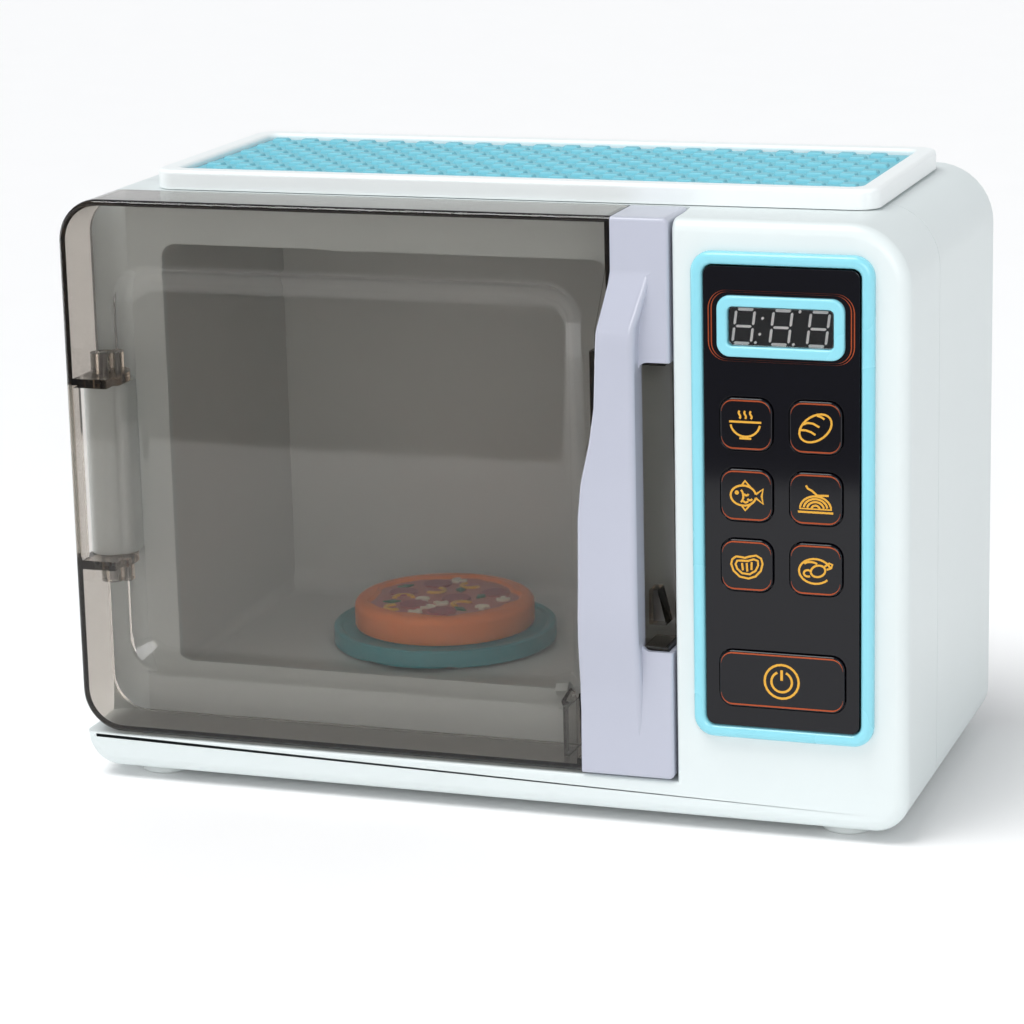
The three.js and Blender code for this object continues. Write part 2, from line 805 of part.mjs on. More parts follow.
const capNest = capWall + fitGap;
const capFrontNest = capWall - capProud + fitGap;
const windowRings = [
  [windowSideMargin, windowRadius, 0],
  [windowSideMargin + windowStep, windowInnerRadius, windowDepth],
];

function windowForm(grow, shiftDepth, start) {
  const rings = windowRings.map(([margin, radius, depth]) => {
    const r = radius + grow;
    const x1 = doorRight - windowRightMargin - (margin - windowSideMargin) + grow;
    const low = doorBottom + windowEndMargin + (margin - windowSideMargin) - grow;
    const high = bodyTop - windowEndMargin - (margin - windowSideMargin) + grow;
    return [roundedRing(left + margin - grow, x1, low, high, [r, r, r, r]), depth + shiftDepth];
  });
  return stack([[rings[0][0], start], ...rings]);
}

function doorShell() {
  const full = softPrism(doorRing, 0, doorDepth, doorFrontRound, 0);
  const nested = prism(doorRing(capNest), capFrontNest, doorDepth);
  const outer = join(full.subtract(capSide(fitGap)), nested);
  const end = doorDepth + cutOverrun;
  const splitX = doorRight - capWidth - fitGap - doorWall;
  const leftHollow = cut(
    prism(doorRing(doorWall), doorWall, end),
    box(splitX, doorRight + cutOverrun, -cutOverrun, end + cutOverrun, 0, bodyTop + cutOverrun),
  );
  const slope = Math.atan2(windowDepth, windowStep);
  const spread = doorWall * Math.tan(slope / 2);
  const rightHollow = prism(doorRing(capNest + doorWall), capFrontNest + doorWall, end);
  const hollow = cut(join(leftHollow, rightHollow), windowForm(spread, doorWall, 0));
  const pocketX = doorRight - pocketWidth;
  const pocketBlock = box(
    pocketX - pocketWall, doorRight - capNest, capFrontNest, pocketDepth + pocketWall,
    notchBottom - fitGap - pocketWall, notchTop + fitGap + pocketWall,
  );
  const pocket = box(
    pocketX, doorRight + cutOverrun, -cutOverrun, pocketDepth, notchBottom - fitGap, notchTop + fitGap,
  );
  const wedgeX = doorRight - notchRight;
  const wedgeBase = notchBottom + catchWedgeRise;
  const wedgeRing = [
    [wedgeX, wedgeBase], [wedgeX + catchWedgeWidth, wedgeBase + catchWedgeHeight / 3],
    [wedgeX + catchWedgeWidth / 2, wedgeBase + catchWedgeHeight],
  ];
  const wedge = prism(wedgeRing, pocketDepth / 2, pocketDepth + fitGap);
  const upper = lugTop + tabGap;
  const lower = lugBottom - tabGap - tabThickness;
  const tab = (z) => join(
    box(left + doorWall / 2, hingeX + tabRadius, doorWall / 2, hingeDepth, z, z + tabThickness),
    rod(hingeX, hingeDepth, tabRadius, z, z + tabThickness),
  );
  const boss = (z0) => rod(hingeX, hingeDepth, hingeBossRadius, z0, z0 + hingeBossHeight + fitGap);
  const notch = box(
    left - cutOverrun, left + doorWall + cutOverrun, notchDepth, end,
    lugBottom - tabGap, lugTop + tabGap,
  );
  const pinTop = upper + tabThickness + hingeBossHeight;
  const pinHole = rod(
    hingeX, hingeDepth, hingePinRadius + fitGap, lower - hingeBossHeight, pinTop, smallSides,
  );
  const rib = box(
    catchX + catchWidth / 2 + fitGap, catchX + catchWidth / 2 + fitGap + catchRibThickness,
    doorDepth - catchRibDepth, doorDepth, doorBottom + doorWall / 2, cavityBottom,
  );
  const shell = join(
    cut(outer, hollow, windowForm(0, 0, -cutOverrun)), pocketBlock,
    tab(upper), tab(lower), boss(upper + tabThickness - fitGap), boss(lower - hingeBossHeight), rib,
  );
  return join(cut(shell, pocket, notch, pinHole), wedge);
}

function grip() {
  const back = capWall - capProud;
  const sections = gripShares.map(([along, share]) => {
    const z = gripLow + (gripHigh - gripLow) * along;
    const front = -capProud - (gripProud - capProud) * share;
    const round = gripRound * share + fitGap;
    const x0 = capEdgeX(z);
    const x1 = doorRight - notchRight - gripSideLean * share;
    return [[
      [x0, front + round], [x0 + round, front], [x1 - round, front], [x1, front + round],
      [doorRight - notchRight - fitGap, back], [x0, back],
    ], z];
  });
  return stack(sections, flat);
}

function doorHandle() {
  const outer = softPrism(doorRing, -capProud, doorDepth, doorFrontRound, 0);
  const inner = prism(doorRing(capWall), capWall - capProud, doorDepth + cutOverrun);
  const cap = cut(outer.intersect(capSide(0)), inner);
  const bar = box(
    doorRight - pocketWidth + fitGap, doorRight - notchRight - fitGap, -capProud, gripBarDepth,
    notchBottom, notchTop,
  );
  const notchRing = roundedRing(
    doorRight - notchRight, doorRight + cutOverrun * 2, notchBottom, notchTop,
    [fitGap, notchRadius, notchRadius, fitGap],
  );
  const notch = prism(notchRing, -gripProud - cutOverrun, doorDepth + cutOverrun);
  return cut(join(cap, grip().intersect(capSide(0)), bar), notch);
}

function hingePin(z0) {
  const top = z0 + hingePinReach + tabThickness + hingeBossHeight;
  return rod(hingeX, hingeDepth, hingePinRadius, z0, top, smallSides);
}

function catchStriker() {
  const x0 = catchX - catchWidth / 2;
  const top = cavityBottom + catchHeight;
  const foot = cavityBottom - catchFoot + fitGap;
  const back = liningFront - fitGap;
  const ring = [
    [doorRecessDepth - catchReach, cavityBottom], [doorRecessDepth, foot], [back, foot],
    [back, top], [doorRecessDepth - catchReach / 2, top],
  ];
  return stack([[ring, x0], [ring, x0 + catchWidth]], across);
}

function panelBezel() {
  const rim = softPrism(bezelRing, -bezelProud, 0, bezelRound, 0);
  const collar = prism(bezelRing(bezelRim - bezelCollarWall), -bezelProud / 2, bezelCollarDepth);
  const well = prism(bezelRing(bezelRim), -bezelProud - cutOverrun, panelBack + fitGap);
  const hole = prism(bezelRing(bezelRim + bezelLedge), -bezelProud, bezelCollarDepth + cutOverrun);
  return cut(join(rim, collar), well, hole);
}

// Keys as [name, x, z, width, height]
const keyNames = ['key_soup', 'key_bread', 'key_fish', 'key_dish', 'key_steak', 'key_roast'];
const keys = keyNames.map((name, i) => [
  name, panelX + (i % 2 - 1 / 2) * (keySize + keyGapX),
  keyTopRow - Math.floor(i / 2) * (keySize + keyGapZ), keySize, keySize,
]);
keys.push(['power_key', panelX, powerCentre, powerWidth, powerHeight]);

function keyRing(x, z, width, height, inset) {
  return evenRing(x, z, width - 2 * inset, height - 2 * inset, keyRadius - inset, keyCornerSteps);
}

function displayRing(inset) {
  const radius = Math.max(displayRadius - inset, displayInnerRadius);
  return evenRing(panelX, displayCentre, displayWidth - 2 * inset, displayHeight - 2 * inset, radius);
}

function panelPlate() {
  const plate = prism(bezelRing(bezelRim + fitGap), panelFront, panelBack);
  const [start, end] = [panelFront - cutOverrun, panelBack + cutOverrun];
  const holes = keys.map(([, x, z, width, height]) => (
    prism(keyRing(x, z, width, height, -fitGap), start, end)
  ));
  return cut(plate, prism(displayRing(displayRim - displayCollarWall - fitGap), start, end), ...holes);
}

function displayFrame() {
  const front = panelFront - fitGap - displayProud;
  const rim = softPrism(displayRing, front, panelFront - fitGap, displayProud / 2, 0);
  const collar = prism(displayRing(displayRim - displayCollarWall), panelFront - displayProud / 2, panelBack);
  return cut(join(rim, collar), prism(displayRing(displayRim), front - cutOverrun, panelBack + cutOverrun));
}

function displayLens() {
  const front = panelFront - displayProud + lensRecess;
  return prism(displayRing(displayRim + fitGap), front, front + lensThickness);
}

function ledDisplay() {
  const front = panelBack + fitGap;
  return prism(displayRing(displayRim - displayCollarWall), front, bezelCollarDepth);
}

function keyCap(width, height) {
  const front = panelFront - keyProud;
  const under = panelBack + fitGap;
  const ring = (inset) => keyRing(0, 0, width, height, inset);
  const cap = softPrism(ring, front, under + keyFlangeThickness / 2, keyEdge, 0);
  const back = under + keyFlangeThickness;
  const cup = rodDeep(0, 0, domeRadius + fitGap, back - keyCupDepth, back + cutOverrun, smallSides);
  return cut(join(cap, prism(ring(-keyFlange), under, back)), cup);
}

function keyMat() {
  const front = panelBack + fitGap + keyFlangeThickness + keyTravel + fitGap;
  const top = displayLow - fitGap;
  const edge = bezelRim + bezelLedge + fitGap;
  const low = bezelBottom + edge;
  const plate = evenRing(
    panelX, (low + top) / 2, bezelWidth - 2 * edge, top - low, bezelInnerRadius, keyCornerSteps,
  );
  const mat = prism(plate, front, bezelCollarDepth);
  const domes = keys.map(([, x, z]) => turnedDeep(x, z, [
    [0, front - keyTravel], [domeTopRadius, front - keyTravel], [domeRadius, front + fitGap],
    [0, front + fitGap],
  ], smallSides));
  return join(mat, ...domes);
}

function circuitBoard() {
  const front = bezelCollarDepth + fitGap;
  return prism(bezelRing(bezelRim - fitGap), front, front + boardThickness);
}

function speaker() {
  const front = rearInner - fitGap;
  const back = front - speakerDepth;
  const rim = speakerRadius - speakerRimWidth;
  return turnedDeep(speakerX, speakerHeight, [
    [0, front - speakerDepth / 4], [rim - fitGap, front - fitGap], [rim, front],
    [speakerRadius, front], [speakerRadius, front - housingWall], [rim, front - housingWall],
    [speakerMagnetRadius, front - speakerDepth / 2], [speakerMagnetRadius, back], [0, back],
  ]);
}

function lampLens() {
  const inner = cavityRightX + linerRelief;
  const flangeX = inner + linerWall + fitGap;
  return turnedAcross(lampDepth, lampHeight, [
    [0, inner - lampDome], [lampRadius - lampEdge, inner - lampDome + lampEdge / 4], [lampRadius, inner],
    [lampRadius, flangeX], [lampRadius + lampFlange, flangeX],
    [lampRadius + lampFlange, flangeX + lampFlangeThickness], [0, flangeX + lampFlangeThickness],
  ]);
}

function lampLed() {
  const tip = cavityRightX + linerRelief + linerWall + lampFlangeThickness + 2 * fitGap;
  const board = tip + lampBulbLength;
  return turnedAcross(lampDepth, lampHeight, [
    [0, tip], [lampBulbRadius - lampBulbEdge, tip + lampBulbEdge / 2],
    [lampBulbRadius, tip + lampBulbRadius],
    [lampBulbRadius, board], [lampRadius, board], [lampRadius, board + lampBoardThickness],
    [0, board + lampBoardThickness],
  ], smallSides);
}

const turntableBottom = floorTop + turntableRest;
const turntableTop = turntableBottom + turntableThickness;

function turntable() {
  const rim = turntableTop + turntableRimHeight;
  const soft = turntableRimWidth / 3;
  return turned(cavityX, turntableDepth, [
    [0, turntableTop], [turntableRadius - turntableRimWidth - soft, turntableTop],
    [turntableRadius - turntableRimWidth, rim - soft / 2], [turntableRadius - turntableRimWidth / 2, rim],
    [turntableRadius - soft, rim - soft / 2], [turntableRadius, rim - turntableRimWidth / 2],
    [turntableRadius, turntableBottom + soft], [turntableRadius - soft, turntableBottom],
    [spindleHeadRadius + fitGap, turntableBottom],
    [spindleHeadRadius + fitGap, turntableBottom + turntableHubDepth],
    [0, turntableBottom + turntableHubDepth],
  ], wideSides);
}

const gearFloor = gearboxFloor + gearboxWall;
const lowGear = gearFloor + 2 * fitGap;
const highGear = lowGear + gearThickness + gearLayerGap;
const stageOne = gearModule * (outputTeeth + pinionTeeth) / 2 + gearPlay;
const stageTwo = gearModule * (idlerTeeth + pinionTeeth) / 2 + gearPlay;
const idlerX = cavityX + stageOne;
const motorX = idlerX + stageTwo;
const gearboxTop = gearboxFloor + gearboxHeight;

function spindle() {
  const head = floorTop + fitGap;
  return turned(cavityX, turntableDepth, [
    [0, gearboxFloor + fitGap], [spindlePinRadius, gearboxFloor + fitGap],
    [spindlePinRadius, gearFloor + fitGap],
    [spindleRadius, gearFloor + fitGap], [spindleRadius, head], [spindleHeadRadius, head],
    [spindleHeadRadius, turntableBottom + turntableHubDepth - fitGap],
    [0, turntableBottom + turntableHubDepth - fitGap],
  ]);
}

function toothCorners(root, tip) {
  return [[root, -toothFoot], [tip, -toothTip], [tip, toothTip], [root, toothFoot]];
}

// A spur gear's outline about the origin, with a tooth or a gap on +X
function gearRing(teeth, gapFirst) {
  const pitch = gearModule * teeth / 2;
  const tip = pitch + gearAddendum;
  const root = pitch - gearModule;
  const step = 2 * Math.PI / teeth;
  const ring = [];
  for (let i = 0; i < teeth; i += 1) {
    const middle = (i + (gapFirst ? 0.5 : 0)) * step;
    for (const [radius, share] of toothCorners(root, tip)) {
      const angle = middle + share * step;
      ring.push([radius * Math.cos(angle), radius * Math.sin(angle)]);
    }
  }
  return ring;
}

function gearAt(teeth, gapFirst, x, z) {
  const ring = gearRing(teeth, gapFirst).map(([u, v]) => [u + x, v + turntableDepth]);
  return stack([[ring, z], [ring, z + gearThickness]], flat);
}

function bore(x, radius) {
  return rod(x, turntableDepth, radius, gearboxFloor, gearboxTop + 2 * cutOverrun, smallSides);
}

function outputGear() {
  return cut(gearAt(outputTeeth, false, cavityX, highGear), bore(cavityX, spindleRadius + fitGap));
}

function idlerGear() {
  const wheel = gearAt(idlerTeeth, false, idlerX, lowGear);
  const ring = gearRing(pinionTeeth, true).map(([u, v]) => [u + idlerX, v + turntableDepth]);
  const pinion = stack([[ring, lowGear + gearThickness - fitGap], [ring, highGear + gearThickness]], flat);
  return cut(join(wheel, pinion), bore(idlerX, idlerAxleRadius + fitGap));
}

function motorPinion() {
  return cut(gearAt(pinionTeeth, true, motorX, lowGear), bore(motorX, motorShaftRadius + fitGap));
}

function idlerAxle() {
  const cover = gearboxTop + fitGap + gearboxWall;
  return rod(idlerX, turntableDepth, idlerAxleRadius, gearboxFloor + fitGap, cover - fitGap, smallSides);
}

function gearMotor() {
  const top = gearboxFloor - seat;
  const bottom = top - motorHeight;
  const shaftTop = lowGear + gearThickness - fitGap;
  return turned(motorX, turntableDepth, [
    [0, bottom], [motorRadius - motorEdge, bottom], [motorRadius, bottom + motorEdge],
    [motorRadius, top], [motorShaftRadius, top], [motorShaftRadius, shaftTop], [0, shaftTop],
  ]);
}

// Outline of the gearbox in plan, and the three posts under it
function gearboxRing(inset) {
  const reach = gearModule * (outputTeeth / 2 + 1) + gearboxMargin + gearboxWall - inset;
  const end = gearModule * (pinionTeeth / 2 + 1) + gearboxMargin + gearboxWall - inset;
  const radius = gearboxRadius - inset;
  const [y0, y1] = [turntableDepth - reach, turntableDepth + reach];
  return roundedRing(cavityX - reach, motorX + end, y0, y1, [radius, radius, radius, radius], keyCornerSteps);
}

function gearboxPosts() {
  const ring = gearboxRing(gearboxPostInset);
  const low = Math.min(...ring.map(([x]) => x));
  const ys = ring.map(([, y]) => y);
  return [[low, Math.min(...ys)], [low, Math.max(...ys)], [idlerX, Math.max(...ys)]];
}

function gearboxCase() {
  const outer = stack([[gearboxRing(0), gearboxFloor], [gearboxRing(0), gearboxTop]], flat);
  const inner = gearboxRing(gearboxWall);
  const hollow = stack([[inner, gearFloor], [inner, gearboxTop + cutOverrun]], flat);
  const [low, high] = [gearboxFloor - cutOverrun, gearFloor + cutOverrun];
  const under = (x, radius) => rod(x, turntableDepth, radius, low, high, smallSides);
  return cut(
    outer, hollow, under(cavityX, spindlePinRadius + fitGap), under(idlerX, idlerAxleRadius + fitGap),
    under(motorX, motorShaftRadius + fitGap),
  );
}

function gearboxCover() {
  const base = gearboxTop + fitGap;
  const plate = stack([[gearboxRing(0), base], [gearboxRing(0), base + gearboxWall]], flat);
  const [low, high] = [base - cutOverrun, base + gearboxWall + cutOverrun];
  const through = (x, radius) => rod(x, turntableDepth, radius, low, high, smallSides);
  return cut(plate, through(cavityX, spindleRadius + fitGap), through(idlerX, idlerAxleRadius + fitGap));
}

function pizza() {
  const base = turntableTop + fitGap;
  const top = base + pizzaHeight;
  const inner = pizzaRadius - pizzaCrustWidth;
  const third = pizzaRound / 3;
  return turned(cavityX, turntableDepth, [
    [0, base], [pizzaRadius - pizzaRound, base], [pizzaRadius - third, base + third],
    [pizzaRadius, base + pizzaRound], [pizzaRadius, top - pizzaRound], [pizzaRadius - third, top - third],
    [pizzaRadius - pizzaRound, top], [inner + third, top], [inner, top - pizzaCrustDrop],
    [0, top - pizzaCrustDrop],
  ], wideSides);
}

const batteryHeadSeat = bodyDepth - batteryCupDepth + batteryCupWall;
const cellDepth = rearInner - fitGap - batteryFloorGap - cellRadius;

function batteryBox() {
  const back = rearInner - fitGap;
  const depth = 2 * cellRadius + 2 * batteryFloorGap;
  const [x0, x1, z0, z1] = batteryRing(0);
  const [fx0, fx1, fz0, fz1] = batteryRing(batteryCoverMargin + batteryWall);
  const wall = batteryWall;
  const tray = box(x0 - wall, x1 + wall, back - depth - wall, back, z0 - wall, z1 + wall);
  const flange = box(fx0, fx1, back - wall, back, fz0 - batteryCoverEar, fz1);
  const cupRadius = screwHeadRadius + fitGap + batteryCupWall + fitGap;
  const cupFloor = bodyDepth - batteryCupDepth - fitGap;
  const z = z0 - batteryCoverEar / 2;
  const boss = rodDeep(batteryX, z, cupRadius + wall, back - screwLength, back);
  const cup = rodDeep(batteryX, z, cupRadius, cupFloor, back + cutOverrun);
  const hole = rodDeep(batteryX, z, screwShankRadius + fitGap, back - screwLength + wall, back, smallSides);
  const bay = box(x0, x1, back - depth, back + cutOverrun, z0, z1);
  return cut(join(cut(tray, bay), cut(flange, bay), boss), cup, hole);
}

function batteryCover() {
  const [x0, x1, z0, z1] = batteryRing(batteryCoverMargin);
  const plate = box(x0, x1, bodyDepth - batteryCoverThickness, bodyDepth, z0 - batteryCoverEar, z1);
  const [, , low] = batteryRing(0);
  const z = low - batteryCoverEar / 2;
  const wellRadius = screwHeadRadius + fitGap;
  const cupStart = bodyDepth - batteryCupDepth;
  const cup = rodDeep(batteryX, z, wellRadius + batteryCupWall, cupStart, bodyDepth - fitGap);
  const well = rodDeep(batteryX, z, wellRadius, batteryHeadSeat, bodyDepth + cutOverrun, smallSides);
  const hole = rodDeep(
    batteryX, z, screwShankRadius + fitGap, cupStart - cutOverrun, bodyDepth, smallSides,
  );
  return cut(join(plate, cup), well, hole);
}

// An AA cell along X about the origin, its nub to the right
function cell() {
  const half = cellLength / 2;
  return turnedAcross(0, 0, [
    [0, -half], [cellRadius - fitGap, -half], [cellRadius, -half + fitGap], [cellRadius, half - fitGap],
    [cellRadius - fitGap, half], [cellNubRadius, half], [cellNubRadius, half + cellNub - fitGap],
    [0, half + cellNub - fitGap],
  ], smallSides + cornerSteps);
}

// A contact plate at x with one spring bump for each cell, pointing towards +X or -X
function contact(x, direction, bumps) {
  const [, , z0, z1] = batteryRing(-fitGap);
  const inner = x + direction * contactThickness;
  const [x0, x1] = [Math.min(x, inner), Math.max(x, inner)];
  const plate = box(x0, x1, cellDepth - contactWidth / 2, cellDepth + contactWidth / 2, z0, z1);
  const tip = inner + direction * (contactSpring - 2 * fitGap);
  const root = inner - direction * contactThickness / 2;
  const cones = bumps.map((i) => turnedAcross(cellDepth, cellHeight(i), [
    [0, root], [contactSpringRadius, root], [contactSpringRadius / 2, tip], [0, tip],
  ], smallSides));
  return join(plate, ...cones);
}

function cellHeight(i) {
  return batteryHeight + (i - (cellCount - 1) / 2) * cellPitch;
}

// A screw along Y with its head's top at the origin and its shank towards -Y
function screw(length) {
  const round = screwHeadHeight / 3;
  const tip = -screwHeadHeight - length;
  const body = turnedDeep(0, 0, [
    [0, tip], [screwShankRadius / 2, tip], [screwShankRadius, tip + screwShankRadius],
    [screwShankRadius, -screwHeadHeight], [screwHeadRadius, -screwHeadHeight],
    [screwHeadRadius, -round], [screwHeadRadius - round, 0], [0, 0],
  ], smallSides);
  const arm = screwHeadRadius / 2;
  const slot = screwSlotWidth / 2;
  return cut(
    body,
    box(-arm, arm, -screwSlotDepth, cutOverrun, -slot, slot),
    box(-slot, slot, -screwSlotDepth, cutOverrun, -arm, arm),
  );
}

add('front_housing', frontHousing(), white);
add('rear_housing', rearHousing(), white);
add('top_frame', topFrame(), white);
add('top_grille', topGrille(), topBlue);
for (const [name, x, y] of footPlaces) add(name, foot(), rubber, x, y, 0);
add('cavity_liner', cavityLiner(), liner);
add('door_shell', doorShell(), smoke);
add('door_handle', doorHandle(), lavender);
add('hinge_pin_upper', hingePin(lugTop - hingePinReach), steel);
add('hinge_pin_lower', hingePin(lugBottom - tabThickness - hingeBossHeight), steel);
add('catch_striker', catchStriker(), white);

add('panel_bezel', panelBezel(), lightBlue);
add('panel_plate', panelPlate(), glossBlack);
add('display_frame', displayFrame(), lightBlue);
add('display_lens', displayLens(), clear);
add('led_display', ledDisplay(), darkGrey);
for (const [name, x, z, width, height] of keys) add(name, keyCap(width, height), glossBlack, x, 0, z);
add('key_mat', keyMat(), rubber);
add('circuit_board', circuitBoard(), boardGreen);

add('turntable', turntable(), teal);
add('drive_spindle', spindle(), acetal);
add('output_gear', outputGear(), acetal);
add('idler_gear', idlerGear(), acetal);
add('idler_axle', idlerAxle(), steel);
add('motor_pinion', motorPinion(), acetal);
add('gear_motor', gearMotor(), steel);
add('gearbox_case', gearboxCase(), darkGrey);
add('gearbox_cover', gearboxCover(), darkGrey);
add('toy_pizza', pizza(), crust);

add('speaker', speaker(), darkGrey);
add('lamp_lens', lampLens(), clear);
add('lamp_led', lampLed(), acetal);
add('battery_box', batteryBox(), darkGrey);
add('battery_cover', batteryCover(), white);
const [bayLeft, bayRight] = batteryRing(-fitGap);
add('contact_left', contact(bayLeft, 1, [0, 2]), steel);
add('contact_right', contact(bayRight, -1, [1]), steel);
for (let i = 0; i < cellCount; i += 1) {
  const shape = i % 2 ? cell().rotate([0, 0, 180]) : cell();
  add(`battery_cell_${i + 1}`, shape, cellBlue, batteryX, cellDepth, cellHeight(i));
}
const headTop = postHeadSeat + fitGap + screwHeadHeight;
const postScrew = screw(screwLength - housingWall);
posts.forEach(([x, z], i) => add(`housing_screw_${i + 1}`, postScrew, steel, x, headTop, z));
const [, , bayLow] = batteryRing(0);
const coverHead = batteryHeadSeat + fitGap + screwHeadHeight;
add('battery_cover_screw', screw(coverScrewLength), steel, batteryX, coverHead, bayLow - batteryCoverEar / 2);

export default group;
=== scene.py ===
"""Looks of a toy microwave oven: smoked clear door, soft white housing, black key panel and toy pizza.
Places and sizes are millimetres, x to the right, y to the back and z up, until they reach a mesh. What
the CAD fixes is read from its nodes, and each section of pieces starts with their other sizes."""

import math

import bmesh
import bpy
from mathutils import Matrix, Vector


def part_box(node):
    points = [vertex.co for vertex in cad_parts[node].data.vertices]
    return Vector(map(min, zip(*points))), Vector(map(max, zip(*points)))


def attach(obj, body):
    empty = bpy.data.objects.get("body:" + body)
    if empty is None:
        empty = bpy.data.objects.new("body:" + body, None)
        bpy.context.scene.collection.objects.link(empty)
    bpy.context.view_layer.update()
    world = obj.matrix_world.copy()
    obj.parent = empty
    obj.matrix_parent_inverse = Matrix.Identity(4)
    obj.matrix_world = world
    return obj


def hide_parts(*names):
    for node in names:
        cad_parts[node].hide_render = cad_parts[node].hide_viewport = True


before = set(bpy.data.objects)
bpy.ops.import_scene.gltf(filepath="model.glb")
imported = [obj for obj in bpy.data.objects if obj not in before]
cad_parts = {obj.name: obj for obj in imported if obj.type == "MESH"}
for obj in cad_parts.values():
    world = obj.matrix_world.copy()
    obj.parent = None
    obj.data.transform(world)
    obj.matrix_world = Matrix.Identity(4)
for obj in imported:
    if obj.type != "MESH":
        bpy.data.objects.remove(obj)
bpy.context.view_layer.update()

MM = 0.001
X, Y, Z = 0, 1, 2
TO_BACK = (-math.pi / 2, 0, 0)  # turn that points z to the back
FACING = 0.9  # share of a direction that makes it count as an axis's own
FACE_NEAR, EDGE_NEAR = 0.05, 0.02  # how far a middle may lie off the place that a test names
CREASE = 0.3  # radians between two faces from which their edge can be picked
OVER = 11  # how far a tool runs past what it cuts
FIT = 0.3  # gap between pieces that fit together


# ---- places from the CAD

def cad(node):
    """Lowest and highest corner of a CAD node, in whole hundredths of a millimetre."""
    return [tuple(round(v / MM, 2) for v in corner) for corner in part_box(node)]


def middle(node, digits=1):
    return tuple(round((a + b) / 2, digits) for a, b in zip(*cad(node)))


def drawn_in(box, margin, ends, across=Y):
    """A box whose outline lies a margin further in, with its own ends along the axis across it."""
    low, high = ([v + side * margin for v in corner] for side, corner in zip((1, -1), box))
    low[across], high[across] = ends
    return low, high


# ---- modelling by hand, as short steps

def only(piece):
    """Leaves one piece selected and active, in object mode."""
    if bpy.context.object and bpy.context.object.mode != "OBJECT":
        bpy.ops.object.mode_set(mode="OBJECT")
    bpy.ops.object.select_all(action="DESELECT")
    piece.select_set(True)
    bpy.context.view_layer.objects.active = piece


def placed(name):
    """Names the new primitive and puts its place and size into its mesh."""
    piece = bpy.context.object
    piece.name = piece.data.name = name
    only(piece)
    bpy.ops.object.transform_apply(location=True, rotation=True, scale=True)
    return piece


def block(name, low, high):
    """A box from its lowest to its highest corner."""
    bpy.ops.object.select_all(action="DESELECT")
    centre = [(a + b) / 2 * MM for a, b in zip(low, high)]
    size = [(b - a) * MM for a, b in zip(low, high)]
    bpy.ops.mesh.primitive_cube_add(size=1, location=centre, scale=size)
    return placed(name)


def disc(name, centre, radius, length, turn=(0, 0, 0), sides=64):
    """A round bar whose near end sits at centre and which runs along z, or where turn points z."""
    bpy.ops.object.select_all(action="DESELECT")
    turned = Matrix.Rotation(turn[1], 3, "Y") @ Matrix.Rotation(turn[0], 3, "X")
    bpy.ops.mesh.primitive_cylinder_add(
        vertices=sides, radius=radius * MM, depth=length * MM, rotation=turn,
        location=(Vector(centre) + turned @ Vector((0, 0, length / 2))) * MM)
    return placed(name)


def pick(piece, kind, test):
    """Edit mode, with the faces, or the edges where faces meet at an angle, that pass a test of
    their middle and their direction."""
    only(piece)
    bpy.ops.object.mode_set(mode="EDIT")
    bpy.ops.mesh.select_mode(type=kind)
    bpy.ops.mesh.select_all(action="DESELECT")
    mesh = bmesh.from_edit_mesh(piece.data)
    mesh.normal_update()
    if kind == "FACE":
        for face in mesh.faces:
            if test(face.calc_center_median() / MM, face.normal):
                face.select_set(True)
    else:
        for edge in mesh.edges:
            a, b = (v.co / MM for v in edge.verts)
            if edge.calc_face_angle(0) > CREASE and test((a + b) / 2, (b - a).normalized()):
                edge.select_set(True)
    bmesh.update_edit_mesh(piece.data)


def put_down():
    bpy.ops.object.mode_set(mode="OBJECT")


def bevel(piece, kind, test, width, steps):
    pick(piece, kind, test)
    bpy.ops.mesh.bevel(offset=width * MM, segments=steps, affect="EDGES")
    put_down()


def inset(piece, test, *rings):
    """Draws faces in, once for each pair of width and rise."""
    pick(piece, "FACE", test)
    for width, rise in rings:
        bpy.ops.mesh.inset(thickness=width * MM, depth=rise * MM)
    put_down()


def every(middle, direction):
    return True


def facing(axis, side, place):
    """Test for faces that look to one side along an axis, at a place on it."""
    return lambda m, normal: side * normal[axis] > FACING and abs(m[axis] - place) < FACE_NEAR


def front_at(y):
    return facing(Y, -1, y)


def back_at(y):
    return facing(Y, 1, y)


def top_at(z):
    return facing(Z, 1, z)


def low_at(z):
    return facing(Z, -1, z)


def edges_at(axis, place):
    return lambda m, direction: abs(m[axis] - place) < EDGE_NEAR


def edges_inside(y, box, margin):
    """Test for edges at a depth that lie inside a box's outline, drawn in by a margin."""
    low, high = drawn_in(box, margin, (y - EDGE_NEAR, y + EDGE_NEAR))
    return lambda m, direction: all(a < v < b for a, v, b in zip(low, m, high))


def plate(name, low, high, radii, upright=True, steps=10):
    """A slab rounded about y, or about z where it lies flat, by one radius or by four: right high, left
    high, left low, right low, where high is the top, or the back of a flat slab."""
    slab = block(name, low, high)
    axis, rise = (Y, Z) if upright else (Z, Y)
    sides = ((high[X], high), (low[X], high), (low[X], low), (high[X], low))
    for (x, end), radius in zip(sides, radii if isinstance(radii, tuple) else (radii,) * 4):
        bevel(slab, "EDGE", lambda m, d: (
            abs(d[axis]) > FACING and abs(m.x - x) < EDGE_NEAR and abs(m[rise] - end[rise]) < EDGE_NEAR
        ), radius, steps)
    return slab


def even_plate(name, centre, size, y, radius, steps=8):
    """An upright slab about the (x, z) centre, between two depths, with one corner radius."""
    (x, z), (width, height) = centre, size
    low = (x - width / 2, y[0], z - height / 2)
    return plate(name, low, (x + width / 2, y[1], z + height / 2), radius, steps=steps)


